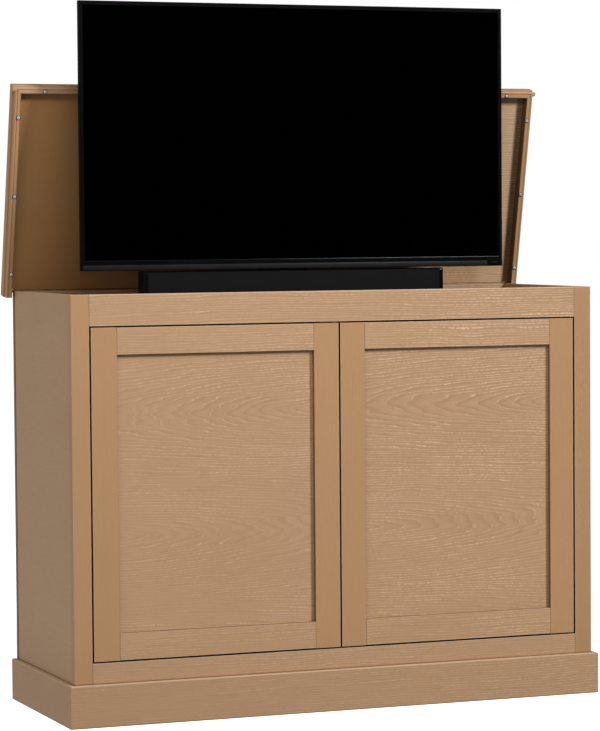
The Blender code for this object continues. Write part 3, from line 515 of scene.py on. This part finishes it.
CASE_SEED, LID_SEED = 0.37, 0.53  # how far the figure shifts from one board to the next
OAK_BOARDS = {  # node: order of axes, tone, strength
    "face_left_stile": ("zxy", "upright", 0.35),
    "face_right_stile": ("zxy", "upright", 0.45),
    "face_top_rail": ("xzy", "across", 0.9),
    "face_bottom_rail": ("xzy", "across", 0.8),
    "plinth_front": ("xzy", "across", 0.7),
    "plinth_left": ("yzx", "across", 0.4),
    "plinth_right": ("yzx", "across", 0.7),
    "left_side_panel": ("yzx", "across", 0.25),
    "right_side_panel": ("yzx", "across", 0.7),
    "rear_top_rail": ("xzy", "across", 0.8),
    "bottom_panel": ("xyz", "across", 0.8),
    "divider_panel": ("xzy", "across", 0.8),
    "centre_partition": ("zyx", "upright", 0.6),
    "left_shelf": ("xyz", "across", 0.8),
    "right_shelf": ("xyz", "across", 0.8),
}
LID_BOARDS = {
    "lid_panel": ("xyz", "across", 0.7),
    "lid_moulding_front": ("xyz", "across", 0.6),
    "lid_moulding_left": ("yxz", "upright", 0.4),
    "lid_moulding_right": ("yxz", "upright", 0.4),
}
LID_CORNERS = {  # node: axis of the lid laid flat, and where the moulding meets the panel along it; painted shade goes there
    "lid_moulding_left": ("x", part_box("lid_moulding_left")[1].x),
    "lid_moulding_right": ("x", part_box("lid_moulding_right")[0].x),
    "lid_moulding_front": ("y", (Matrix.Rotation(LID_OPEN, 3, "X") @ LID_PIVOT).y - LID_FRONT_OUT),
}
GAP_SIDES = {  # node: axis, and which end of the node's box along it faces a gap, which gets painted shade and a painted highlight
    "face_left_stile": ("x", 1),
    "face_right_stile": ("x", 0),
    "face_top_rail": ("z", 0),
    "face_bottom_rail": ("z", 1),
}
INNER_CORNERS = {}  # node: axis, and which end of the node's box along it faces the door panel; painted shade goes there
for word, outer, inner in (("left", 0, 1), ("right", 1, 0)):
    OAK_BOARDS |= {
        word + "_door_outer_stile": ("zxy", "upright", 0.35),
        word + "_door_inner_stile": ("zxy", "upright", 0.35),
        word + "_door_top_rail": ("xzy", "across", 0.8),
        word + "_door_bottom_rail": ("xzy", "across", 0.9),
        word + "_door_panel": ("xzy", "across", 1.0),
    }
    GAP_SIDES |= {
        word + "_door_outer_stile": ("x", outer),
        word + "_door_inner_stile": ("x", inner),
        word + "_door_top_rail": ("z", 1),
        word + "_door_bottom_rail": ("z", 0),
    }
    INNER_CORNERS |= {
        word + "_door_outer_stile": ("x", inner),
        word + "_door_inner_stile": ("x", outer),
        word + "_door_top_rail": ("z", 0),
        word + "_door_bottom_rail": ("z", 1),
    }
EASED_BOARDS = ("left_side_panel", "right_side_panel", "divider_panel", "left_shelf", "right_shelf")
EASED_WIDTH = 0.0008  # of their arrises


def ease(node):
    """Break the sharp arrises of a board."""
    weld = node.modifiers.new("weld", "WELD")
    weld.merge_threshold = 0.00002
    bevel = node.modifiers.new("arris", "BEVEL")
    bevel.width = EASED_WIDTH
    bevel.segments = 2
    bevel.limit_method = "ANGLE"
    bevel.angle_limit = radians(50)


def dress(name, material):
    node = NODES[name]
    node.data.materials.clear()
    node.data.materials.append(material)


def board_oak(name, number):
    """The oak of a board of the case or doors. number sets its figure apart from the others'."""
    order, tone, strength = OAK_BOARDS[name]
    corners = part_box(name)
    wood = Oak("oak_" + name, order, tone, CASE_SEED * number)
    arched = name.endswith("door_panel")
    wood.grow(strength, (corners[0].x + corners[1].x) / 2 if arched else None)
    if name.startswith(("plinth", "face_top", "face_left", "face_right")):
        # A painted highlight along the top arris.
        wood.paint_arris_highlight("z", corners[1].z)
    if name in GAP_SIDES:
        letter, end = GAP_SIDES[name]
        place = getattr(corners[end], letter)
        # A painted highlight on the arris, and painted shade on the gap's side.
        wood.paint_arris_highlight(letter, place)
        wood.shade_gap_side(letter, place, corners[0].y)
    # Painted shade in the corners beside the door panel.
    if name in INNER_CORNERS:
        letter, end = INNER_CORNERS[name]
        wood.shade_corner(letter, getattr(corners[end], letter))
    # Painted shade towards the floor, and painted contact shadows.
    wood.paint_floor_shade()
    # Painted shade in the side groove.
    if name.endswith("side_panel"):
        wood.shade_groove()
    return wood.done()


def lid_oak(name, number):
    order, tone, strength = LID_BOARDS[name]
    wood = Oak("oak_" + name, order, tone, LID_SEED * number, LID_OPEN)
    # The lid panel gets painted shadow and painted light.
    wood.grow(strength, shaded=name == "lid_panel")
    # Painted shade where a moulding meets the panel.
    if name in LID_CORNERS:
        wood.shade_corner(*LID_CORNERS[name])
    return wood.done()


def dress_frame():
    for number, name in enumerate(OAK_BOARDS):
        dress(name, board_oak(name, number))
    for number, name in enumerate(LID_BOARDS):
        dress(name, lid_oak(name, number))
    for part in frame["record"]["subparts"]:
        slot = part["material_slot"]
        if slot != "oak":
            dress(part["node"], FINISHES[slot])
    for name in EASED_BOARDS:
        ease(NODES[name])


# --------------------------------------------------------------------------------- mesh building
def piece(name, bm, body, slot, material=None, smooth=True):
    """Turn a bmesh in the frame's coordinates into a named piece that rides on a body.

    It has its slot's finish unless another material is given.
    """
    bmesh.ops.recalc_face_normals(bm, faces=bm.faces)
    mesh = bpy.data.meshes.new(name)
    bm.to_mesh(mesh)
    bm.free()
    if smooth:
        mesh.shade_smooth()
        mesh.set_sharp_from_angle(angle=radians(35))
    mesh.materials.append(material or FINISHES[slot])
    made = bpy.data.objects.new(name, mesh)
    bpy.context.scene.collection.objects.link(made)
    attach(made, body)
    return made


def arc(centre, radius, start, end, steps):
    angles = [radians(start + (end - start) * n / steps) for n in range(steps + 1)]
    return [(centre[0] + radius * cos(a), centre[1] + radius * sin(a)) for a in angles]


def rounded(low, high, radius, steps=5):
    """A rectangle's outline with round corners, anticlockwise."""
    corners = ((high[0], low[1], -90), (high[0], high[1], 0), (low[0], high[1], 90), (low[0], low[1], 180))
    points = []
    for x, y, start in corners:
        centre = (x - radius if x == high[0] else x + radius, y - radius if y == high[1] else y + radius)
        points += arc(centre, radius, start, start + 90, steps)
    return points


def skin(bm, first, second):
    """Faces between two rings with equal numbers of vertices."""
    for n in range(len(first)):
        m = (n + 1) % len(first)
        bm.faces.new((first[n], first[m], second[m], second[n]))


def loft(bm, loops):
    """Skin a row of equal loops of points, and close both ends."""
    rows = [[bm.verts.new(point) for point in loop] for loop in loops]
    for first, second in zip(rows, rows[1:]):
        skin(bm, first, second)
    bm.faces.new(reversed(rows[0]))
    bm.faces.new(rows[-1])


def slab(bm, low, high, ease_width):
    """A box with every edge eased."""
    low, high = Vector(low), Vector(high)
    made = bmesh.ops.create_cube(bm, size=1)["verts"]
    bmesh.ops.scale(bm, vec=high - low, verts=made)
    bmesh.ops.translate(bm, vec=(low + high) / 2, verts=made)
    edges = list({edge for vert in made for edge in vert.link_edges})
    bmesh.ops.bevel(bm, geom=edges, offset=ease_width, segments=2, profile=0.5, affect="EDGES")


def turned(profile, place, steps):
    """The loops of a (radius, height) profile turned about the place's z axis."""
    angles = [2 * pi * n / steps for n in range(steps)]
    return [
        [place @ Vector((radius * cos(angle), radius * sin(angle), height)) for angle in angles]
        for radius, height in profile
    ]


def lathe(bm, profile, place, steps=24):
    """A solid turned from a profile, with both ends closed."""
    loft(bm, turned(profile, place, steps))


def turn_ring(bm, outline, place, steps):
    """A ring turned from a closed outline."""
    rows = [[bm.verts.new(point) for point in loop] for loop in turned(outline, place, steps)]
    for first, second in zip(rows, rows[1:] + rows[:1]):
        skin(bm, first, second)


def facing(point, towards):
    """A place at a point whose z axis looks along a direction."""
    return Matrix.Translation(point) @ Vector(towards).to_track_quat("Z", "Y").to_matrix().to_4x4()


def facing_back(xs, y, zs):
    """Places on a rear face: at each x, one for each z."""
    return [facing((x, y, z), BACKWARDS) for x in xs for z in zs]


HEAD_STEPS, HEAD_RINGS = 32, 8
HEAD_SET_IN = 0.001  # how far a screw's head reaches into what it sits on
CROSS_ARM, CROSS_REACH, CROSS_DEPTH = 0.17, 0.62, 0.75  # shares of its radius and its dome


def add_screw(bm, place, radius, dome):
    """A round screw head with a cross recess, standing on the place's xy plane."""
    arm, reach, sunk = radius * CROSS_ARM, radius * CROSS_REACH, dome * CROSS_DEPTH
    rows = turned([(radius, -HEAD_SET_IN)], place, HEAD_STEPS)
    for level in range(HEAD_RINGS + 1):
        share = 1 - level / (HEAD_RINGS + 0.5)
        out, height = radius * share, dome * (1 - share**2) ** 0.5
        row = []
        for n in range(HEAD_STEPS):
            angle = 2 * pi * n / HEAD_STEPS
            x, y = out * cos(angle), out * sin(angle)
            in_cross = min(abs(x), abs(y)) < arm and max(abs(x), abs(y)) < reach
            row.append(place @ Vector((x, y, height - sunk if in_cross else height)))
        rows.append(row)
    loft(bm, rows)


def screws(name, places, body, slot, head):
    """A piece of equal screws. head is the radius and the dome of one."""
    bm = bmesh.new()
    for place in places:
        add_screw(bm, place, *head)
    piece(name, bm, body, slot)


# ------------------------------------------------------------------------------------------- lid
# Profiles are (radius, height) pairs, and a screw is the radius and the dome of its head.
LID_LIP = 0.022  # depth of the mouldings below the panel
INNER_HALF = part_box("lid_moulding_right")[0].x  # from the lid's middle to a side moulding
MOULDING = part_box("lid_moulding_right")[1].x - INNER_HALF
SCREW_BAND = 0.0050  # from a moulding's inner face to its screws
SIDE_SCREWS = (0.0465, 0.242, 0.437)  # out from the hinge axis
FRONT_SCREWS = (-0.619, -0.371, -0.124, 0.124, 0.371, 0.619)  # x
LID_SCREW = (0.0042, 0.0032)
# A dark ring under each lid screw: painted shade around its head.
SCREW_SHADOW_RING = [(0.0056, -0.0005), (0.0056, 0.0003), (0.0052, 0.0007), (0.0030, 0.0007)]
STRIP_LOW, STRIP_HIGH = (0.0045, -LID_LIP), (0.0161, -0.0144)  # front strip's section: out, up
STRIP_RADIUS = 0.0034
STRIP_PROUD = 0.0043  # how far it runs past the side mouldings
NOSE_START = 0.010  # from a side moulding's inner face
NOSE = ((0.0, 1.0), (0.70, 1.0), (0.84, 0.93), (0.94, 0.78), (1.0, 0.52))  # share of length, size
HINGE_SPACING = 0.080  # between a leaf's screws
LEAF = 0.0015  # thickness of a leaf
FIXED_SCREWS_UP = 0.008  # from the fixed leaf's lower edge
MOVING_SCREWS_UP = 0.0125  # from the closed lid's underside
HINGE_SCREW = (0.0026, 0.0007)
PIN_CAP = [(0.0024, 0.0002), (0.0029, 0.0006), (0.0029, 0.0080), (0.0024, 0.0090), (0.0001, 0.0092)]


def lid_spot(x, out, up):
    """A point of the open lid: out from the hinge axis, up from the closed lid's underside."""
    return LID_PLACE @ Vector((x, -out, up))


def lid_direction(y, z):
    """A direction of the open lid, given as it points when the lid is closed."""
    return LID_PLACE.to_3x3() @ Vector((0, y, z))


def dress_lid_screws():
    spots = [(side * (INNER_HALF + SCREW_BAND), out) for side in (-1, 1) for out in SIDE_SCREWS]
    spots += [(x, LID_FRONT_OUT + SCREW_BAND) for x in FRONT_SCREWS]
    places = [facing(lid_spot(x, out, -LID_LIP), lid_direction(0, -1)) for x, out in spots]
    screws("lid_moulding_screws", places, "lid", "lid_screws", LID_SCREW)
    # Dark rings under the heads, as painted shade.
    bm = bmesh.new()
    for place in places:
        lathe(bm, SCREW_SHADOW_RING, place)
    piece("lid_screw_washers", bm, "lid", "lid_screws", FINISHES["latch_plastic"])


def dress_lid_strip():
    """The front moulding's lower strip runs a little past the side mouldings and ends in noses."""
    bm = bmesh.new()
    start, length = INNER_HALF + NOSE_START, MOULDING - NOSE_START + STRIP_PROUD
    middle = (Vector(STRIP_LOW) + Vector(STRIP_HIGH)) / 2
    outline = [Vector(point) - middle for point in rounded(STRIP_LOW, STRIP_HIGH, STRIP_RADIUS)]
    for side in (-1, 1):
        loops = []
        for share, size in NOSE:
            x = side * (start + length * share)
            section = [middle + point * size for point in outline]
            loops.append([lid_spot(x, LID_FRONT_OUT + out, up) for out, up in section])
        loft(bm, loops)
    piece("lid_strip_noses", bm, "lid", "oak", NODES["lid_moulding_front"].data.materials[0])


def dress_lid_hinge():
    """Countersunk screws along both leaves of the long hinge, and caps on its pin."""
    low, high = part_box("lid_hinge_fixed_leaf")
    count = int((high.x - low.x) / HINGE_SPACING)
    start = (low.x + high.x) / 2 - HINGE_SPACING * (count - 1) / 2
    xs = [start + HINGE_SPACING * n for n in range(count)]
    face_y = low.y + LEAF
    out = LID_PIVOT.y - face_y
    fixed = facing_back(xs, face_y, (low.z + FIXED_SCREWS_UP,))
    moving = [facing(lid_spot(x, out, MOVING_SCREWS_UP), lid_direction(1, 0)) for x in xs]
    screws("lid_hinge_case_screws", fixed, "cabinet", "hinge_brass", HINGE_SCREW)
    screws("lid_hinge_lid_screws", moving, "lid", "hinge_brass", HINGE_SCREW)
    bm = bmesh.new()
    for side in (-1, 1):
        lathe(bm, PIN_CAP, facing((side * high.x, LID_PIVOT.y, LID_PIVOT.z), (side, 0, 0)))
    piece("lid_hinge_pin_caps", bm, "cabinet", "latch_plastic")


# ------------------------------------------------------------------------------------ television
LOUVRE_ROWS, LOUVRE_TOP, LOUVRE_STEP = 9, 1.415, 0.0055
LOUVRE_BANKS = (-0.300, -0.225, 0.225, 0.300)  # x of their middles
LOUVRE_HALF_WIDTH, LOUVRE_HALF_HEIGHT = 0.032, 0.0011
BAY_RIM = (  # x and z of its bars: from, to
    (0.235, 1.140, 0.400, 1.146),
    (0.235, 1.204, 0.400, 1.210),
    (0.229, 1.140, 0.235, 1.210),
    (0.400, 1.140, 0.406, 1.210),
)
SHELL_SET_IN = 0.0006  # how far louvres and bars reach into the rear shell
LOUVRE_PROUD, BAR_PROUD = 0.0008, 0.0010
FLAT_SOCKETS = [0.258 + n * 0.032 for n in range(4)]  # x
FLAT_SOCKET_LOW, FLAT_SOCKET_HIGH, FLAT_SOCKET_HALF = 1.170, 1.176, 0.0075
FLAT_SOCKET_ENDS = (-0.0005, 0.0009)  # y of a socket's ends, from the rear shell's face
ROUND_SOCKETS, ROUND_SOCKET_Z = [0.268 + n * 0.03 for n in range(2)], 1.192
ROUND_SOCKET = [(0.0045, -0.0005), (0.0045, 0.0040), (0.0030, 0.0040), (0.0030, 0.0020)]
SHELL_SCREW, SHELL_SCREW_XS, SHELL_SCREW_ZS = (0.0036, 0.0014), (-0.400, 0.400), (1.105, 1.425)
BRACKET_SCREW, BRACKET_SCREW_XS = (0.0065, 0.0028), (-0.195, 0.195)
BRACKET_SCREW_ZS = (1.160, 1.270, 1.380)
BRACKET_PLATE = 0.004  # its thickness


def dress_bezel():
    """The chin's strip, the lip under the screen and the remote control's window."""
    low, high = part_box("tv_bezel")
    screen_low, screen_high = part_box("tv_screen")
    front = low.y
    trims = {
        "tv_chin_strip": (
            CHIN_STRIP,
            (low.x + 0.004, front - 0.0012, low.z + 0.0015),
            (high.x - 0.042, front + 0.001, low.z + 0.0135),
            0.0008,
        ),
        # Its bright lip is a painted highlight.
        "tv_screen_gasket": (
            SCREEN_LIP,
            (screen_low.x, front + 0.0001, screen_low.z - 0.0014),
            (screen_high.x, front + 0.0010, screen_low.z + 0.0004),
            0.0003,
        ),
        "tv_remote_window": (
            FINISHES["tv_bezel_plastic"],
            (high.x - 0.036, front - 0.0008, low.z + 0.003),
            (high.x - 0.012, front + 0.001, low.z + 0.011),
            0.0007,
        ),
    }
    for name, (finish, near, far, ease_width) in trims.items():
        bm = bmesh.new()
        slab(bm, near, far, ease_width)
        piece(name, bm, "tv_carriage", "tv_bezel_plastic", finish)


def dress_louvres(back):
    """Banks of vent louvres. back is the y of the rear shell's face."""
    bm = bmesh.new()
    for row in range(LOUVRE_ROWS):
        z = LOUVRE_TOP - row * LOUVRE_STEP
        for bank in LOUVRE_BANKS:
            low = (bank - LOUVRE_HALF_WIDTH, back - SHELL_SET_IN, z - LOUVRE_HALF_HEIGHT)
            high = (bank + LOUVRE_HALF_WIDTH, back + LOUVRE_PROUD, z + LOUVRE_HALF_HEIGHT)
            slab(bm, low, high, 0.0005)
    piece("tv_vent_louvres", bm, "tv_carriage", "tv_rear_plastic")


def dress_socket_bay(back):
    """A rim around four flat sockets and two round ones."""
    bm = bmesh.new()
    for x, z, to_x, to_z in BAY_RIM:
        slab(bm, (x, back - SHELL_SET_IN, z), (to_x, back + BAR_PROUD, to_z), 0.0005)
    piece("tv_socket_bay_rim", bm, "tv_carriage", "tv_rear_plastic")
    bm = bmesh.new()
    for x in FLAT_SOCKETS:
        low, high = (x - FLAT_SOCKET_HALF, FLAT_SOCKET_LOW), (x + FLAT_SOCKET_HALF, FLAT_SOCKET_HIGH)
        outline = rounded(low, high, 0.0012, 3)
        loft(bm, [[(px, back + end, pz) for px, pz in outline] for end in FLAT_SOCKET_ENDS])
    for place in facing_back(ROUND_SOCKETS, back, (ROUND_SOCKET_Z,)):
        lathe(bm, ROUND_SOCKET, place)
    piece("tv_sockets", bm, "tv_carriage", "tv_rear_plastic", SOCKET_METAL)


def dress_television():
    dress_bezel()
    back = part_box("tv_rear_cover")[1].y
    dress_louvres(back)
    dress_socket_bay(back)
    places = facing_back(SHELL_SCREW_XS, back, SHELL_SCREW_ZS)
    screws("tv_shell_screws", places, "tv_carriage", "lid_screws", SHELL_SCREW)
    plate_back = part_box("tv_mount_bracket")[0].y + BRACKET_PLATE
    places = facing_back(BRACKET_SCREW_XS, plate_back, BRACKET_SCREW_ZS)
    screws("tv_bracket_screws", places, "tv_carriage", "lid_screws", BRACKET_SCREW)


# -------------------------------------------------------------------------------------- soundbar
CAP_LENGTH = 0.009
CAP_ROUNDING = (  # in from the bar's end, and growth of the section there
    (CAP_LENGTH + 0.001, -0.0002),
    (0.0022, -0.0002),
    (0.0009, -0.0007),
    (0.0002, -0.0016),
    (0.0, -0.0030),
)
CLOTH_GROWTH = -0.0008  # the cloth lies a little inside the caps
BAR_RADIUS = 0.0060  # of the section's corners
BUTTONS = [-0.030 + n * 0.020 for n in range(4)]  # x
BUTTON_FORWARD, BUTTON_SUNK = 0.012, 0.0008  # from the middle of the top, and into it
BUTTON = [(0.0050, -0.001), (0.0050, 0.0004), (0.0044, 0.0008), (0.0010, 0.0006)]


def dress_soundbar():
    low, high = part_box("soundbar_body")

    def section(x, growth):
        near, far = (low.y - growth, low.z - growth), (high.y + growth, high.z + growth)
        return [(x, y, z) for y, z in rounded(near, far, BAR_RADIUS + growth)]

    bm = bmesh.new()
    loft(bm, [section(low.x + CAP_LENGTH, CLOTH_GROWTH), section(high.x - CAP_LENGTH, CLOTH_GROWTH)])
    body = piece("soundbar_grille", bm, "tv_carriage", "soundbar_cloth")
    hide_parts("soundbar_body")
    for side, word in SIDES:
        bm = bmesh.new()
        end = high.x if side > 0 else -low.x
        loft(bm, [section(side * (end - inwards), growth) for inwards, growth in CAP_ROUNDING])
        piece(f"soundbar_cap_{word}", bm, "tv_carriage", "soundbar_gloss")
    bm = bmesh.new()
    for x in BUTTONS:
        spot = (x, (low.y + high.y) / 2 - BUTTON_FORWARD, high.z - BUTTON_SUNK)
        lathe(bm, BUTTON, facing(spot, (0, 0, 1)))
    piece("soundbar_buttons", bm, "tv_carriage", "soundbar_gloss")


# ------------------------------------------------------------------------------- case and doors
BACK_SCREW = (0.0034, 0.0012)
SIDE_ROW_INSET = 0.010
SIDE_ROW = [0.060 + n * 0.1285 for n in range(8)]  # z of the screws up both sides of the back
LEVEL_ROW = [-0.540 + n * 0.135 for n in range(9)]  # x of those in its two level rows
LEVEL_ROW_HEIGHTS = (0.950, 0.140)
CABLE_PORT_X, CABLE_PORT_Z = 0.420, 0.240
GROMMET = [
    (0.0300, -0.0110), (0.0314, -0.0110), (0.0314, 0.0001), (0.0375, 0.0001),
    (0.0372, 0.0014), (0.0360, 0.0020), (0.0320, 0.0020), (0.0300, 0.0005),
]
STRIP_FROM, STRIP_TO = 0.0100, 0.6260  # x of a dark strip behind a door gap, painted shade
STRIP_NEAR, STRIP_FAR = 0.0004, 0.0020  # from the back of the top rail
STRIP_BELOW, STRIP_ABOVE = 0.013, 0.012  # from the top rail's lower edge
CUP_SCREW, ARM_SCREW = (0.0028, 0.0009), (0.0028, 0.0012)
CUP_SCREW_RISE = 0.0175  # from a hinge cup's middle
ARM_SCREW_SHARES = (0.20, 0.48)  # of a hinge arm's length
PIN_INSET, PIN_DROP = 0.035, 0.0028  # of a shelf pin, from the shelf's front or back, and below it
SHELF_PIN = [(0.0001, -0.0002), (0.0025, -0.0002), (0.0025, 0.0070), (0.0020, 0.0078), (0.0001, 0.0078)]


def dress_case():
    """Screws around the back panel, and a grommet in each cable port."""
    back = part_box("back_panel")[1]
    side_x = back.x - SIDE_ROW_INSET
    places = facing_back((-side_x, side_x), back.y, SIDE_ROW)
    for height in LEVEL_ROW_HEIGHTS:
        places += facing_back(LEVEL_ROW, back.y, (height,))
    screws("back_panel_screws", places, "cabinet", "lid_screws", BACK_SCREW)
    for side, word in SIDES:
        bm = bmesh.new()
        place = facing((side * CABLE_PORT_X, back.y, CABLE_PORT_Z), BACKWARDS)
        turn_ring(bm, GROMMET, place, steps=40)
        piece(f"cable_grommet_{word}", bm, "cabinet", "latch_plastic")


def dress_gap_shade_strips():
    """Dark strips behind the face frame's top rail that the closed doors meet: painted shade that darkens
    the gaps.
    """
    opening_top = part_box("face_top_rail")[0].z
    rail_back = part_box("face_top_rail")[1].y
    bm = bmesh.new()
    for x, to_x in ((-STRIP_TO, -STRIP_FROM), (STRIP_FROM, STRIP_TO)):
        low = (x, rail_back + STRIP_NEAR, opening_top - STRIP_BELOW)
        slab(bm, low, (to_x, rail_back + STRIP_FAR, opening_top + STRIP_ABOVE), 0.0004)
    piece("door_stop_strips", bm, "cabinet", "latch_plastic")


def dress_door_hinges(side, word):
    """Screws beside the cups and along the arms of a door's two hinges."""
    cup_places, arm_places = [], []
    for level in ("lower", "upper"):
        low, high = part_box(f"{word}_hinge_cup_{level}")
        centre = (low + high) / 2
        rises = (centre.z - CUP_SCREW_RISE, centre.z + CUP_SCREW_RISE)
        cup_places += facing_back((centre.x,), high.y, rises)
        low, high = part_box(f"{word}_hinge_arm_{level}")
        centre = (low + high) / 2
        shares = [1 - share if side > 0 else share for share in ARM_SCREW_SHARES]
        xs = [low.x + (high.x - low.x) * share for share in shares]
        arm_places += facing_back(xs, high.y, (centre.z,))
    screws(f"{word}_hinge_cup_screws", cup_places, f"{word}_door", "hinge_nickel", CUP_SCREW)
    screws(f"{word}_hinge_arm_screws", arm_places, "cabinet", "hinge_nickel", ARM_SCREW)


def dress_shelf(word):
    """The four pins that carry a shelf."""
    bm = bmesh.new()
    low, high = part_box(f"{word}_shelf")
    for x, inwards in ((low.x, 1), (high.x, -1)):
        for y in (low.y + PIN_INSET, high.y - PIN_INSET):
            lathe(bm, SHELF_PIN, facing((x, y, low.z - PIN_DROP), (inwards, 0, 0)), steps=16)
    piece(f"{word}_shelf_pins", bm, "cabinet", "hinge_nickel")


def dress_doors():
    # Dark strips in the door gaps, as painted shade.
    dress_gap_shade_strips()
    for side, word in SIDES:
        dress_door_hinges(side, word)
        dress_shelf(word)


# ------------------------------------------------------------------------------------------ lift
THREAD_PITCH, THREAD_STARTS, STEPS_PER_TURN = 0.020, 4, 20
THREAD_DEPTH, THREAD_HALF_BASE, THREAD_HALF_CREST = 0.00066, 0.0018, 0.0008
THREAD_SUNK = 0.0004  # how far it reaches into the rod
THREAD_BOTTOM, THREAD_SHORT = 0.008, 0.02  # above the rod's end, and shorter than the rod


def dress_lift():
    """The spindle's rolled thread, wound on the plain rod."""
    low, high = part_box("lift_spindle")
    centre = (low + high) / 2
    root = high.x - centre.x - THREAD_SUNK
    crest = root + THREAD_DEPTH
    corners = (
        (root, -THREAD_HALF_BASE), (crest, -THREAD_HALF_CREST),
        (crest, THREAD_HALF_CREST), (root, THREAD_HALF_BASE),
    )
    turns = int((high.z - low.z - THREAD_SHORT) / THREAD_PITCH)
    for start in range(THREAD_STARTS):
        bm = bmesh.new()
        rows = []
        for n in range(turns * STEPS_PER_TURN + 1):
            angle = 2 * pi * (n / STEPS_PER_TURN + start / THREAD_STARTS)
            z = low.z + THREAD_BOTTOM + THREAD_PITCH * n / STEPS_PER_TURN
            out = Vector((cos(angle), sin(angle), 0))
            rows.append([Vector((centre.x, centre.y, z + rise)) + out * radius for radius, rise in corners])
        loft(bm, rows)
        piece(f"spindle_thread_{start + 1}", bm, "spindle", "spindle_steel", smooth=False)


# ----------------------------------------------------------------------------- studio and camera
CAMERA_PLACE = Vector((-2.6859, -6.8951, 1.1763))
CAMERA_YAW, CAMERA_PITCH, CAMERA_ROLL = radians(21.249), radians(2.737), radians(-0.434)
CAMERA_LENS, CAMERA_SENSOR = 146.98, 36
WHITE = (1, 1, 1, 1)
AMBIENT = (0.62, 0.05)  # from the left and from the right
AMBIENT_FADES = (-0.75, 0.25)  # x of the directions between which it changes
FLOOR_DROP = 0.0004  # of the studio's floor below z = 0
LIGHTS = {  # name: place, aim, size, power
    "key": ((7.8, -9.75, 7.6), (0, 0, 0.85), (2.6, 2.6), 1500),
    "top_fill": ((-0.45, -1.5, 2.4), (0, 0, 0.9), (1.4, 0.5), 12.0),
}


def make_camera():
    forward = Vector((sin(CAMERA_YAW), cos(CAMERA_YAW), 0))
    level = Vector((cos(CAMERA_YAW), -sin(CAMERA_YAW), 0))
    up = Vector((0, 0, 1))
    ahead = forward * cos(CAMERA_PITCH) - up * sin(CAMERA_PITCH)
    above = up * cos(CAMERA_PITCH) + forward * sin(CAMERA_PITCH)
    right = level * cos(CAMERA_ROLL) + above * sin(CAMERA_ROLL)
    top = above * cos(CAMERA_ROLL) - level * sin(CAMERA_ROLL)
    camera = bpy.data.objects.new("camera", bpy.data.cameras.new("camera"))
    turn = Matrix((right, top, -ahead)).transposed().to_4x4()
    camera.matrix_world = Matrix.Translation(CAMERA_PLACE) @ turn
    camera.data.lens = CAMERA_LENS
    camera.data.sensor_width = CAMERA_SENSOR
    bpy.context.scene.collection.objects.link(camera)
    bpy.context.scene.camera = camera


def make_light(name, place, aim, size, power):
    light = bpy.data.lights.new(name, "AREA")
    light.shape = "RECTANGLE"
    light.size, light.size_y = size
    light.energy = power
    item = bpy.data.objects.new(name, light)
    item.location = place
    item.rotation_euler = (Vector(aim) - Vector(place)).to_track_quat("-Z", "Y").to_euler()
    bpy.context.scene.collection.objects.link(item)


def make_world():
    """White behind the object, and an even light around it that is stronger from the left."""
    world = bpy.data.worlds.new("studio")
    world.use_nodes = True
    tree = world.node_tree
    seen = tree.nodes["Background"]
    seen.inputs["Color"].default_value = WHITE
    ambient = tree.nodes.new("ShaderNodeBackground")
    ambient.inputs["Color"].default_value = WHITE
    way = tree.nodes.new("ShaderNodeSeparateXYZ")
    tree.links.new(tree.nodes.new("ShaderNodeTexCoord").outputs["Generated"], way.inputs[0])
    fade = tree.nodes.new("ShaderNodeMapRange")
    for name, value in zip(("From Min", "From Max", "To Min", "To Max"), AMBIENT_FADES + AMBIENT):
        fade.inputs[name].default_value = value
    tree.links.new(way.outputs[0], fade.inputs["Value"])
    tree.links.new(fade.outputs[0], ambient.inputs["Strength"])
    path = tree.nodes.new("ShaderNodeLightPath")
    choose = tree.nodes.new("ShaderNodeMixShader")
    tree.links.new(path.outputs["Is Camera Ray"], choose.inputs[0])
    tree.links.new(ambient.outputs[0], choose.inputs[1])
    tree.links.new(seen.outputs[0], choose.inputs[2])
    tree.links.new(choose.outputs[0], tree.nodes["World Output"].inputs["Surface"])
    bpy.context.scene.world = world


def make_floor():
    """A pale, glowing floor that neither lights the object nor shows in it."""
    floor_mesh = bpy.data.meshes.new("studio_floor")
    bm = bmesh.new()
    bmesh.ops.create_circle(bm, cap_ends=True, radius=40, segments=64)
    bm.to_mesh(floor_mesh)
    bm.free()
    paint = Finish("studio_floor", 0.9)
    speckle = paint.product(paint.noise(paint.place(), 30, 2), 0.2)
    paint.colour(paint.mix(speckle, linear(238, 238, 238), linear(233, 233, 233)))
    paint.set(Emission_Color=WHITE, Emission_Strength=0.80, Specular_IOR_Level=0.0)
    floor_mesh.materials.append(paint.material)
    floor = bpy.data.objects.new("studio_floor", floor_mesh)
    floor.location.z = -FLOOR_DROP
    floor.visible_diffuse = False
    floor.visible_glossy = False
    bpy.context.scene.collection.objects.link(floor)


def make_studio():
    bpy.context.scene.view_settings.view_transform = "Standard"
    make_world()
    make_floor()
    for name, settings in LIGHTS.items():
        make_light(name, *settings)


dress_frame()
dress_lid_screws()
dress_lid_strip()
dress_lid_hinge()
dress_television()
dress_soundbar()
dress_case()
dress_doors()
dress_lift()
make_camera()
make_studio()
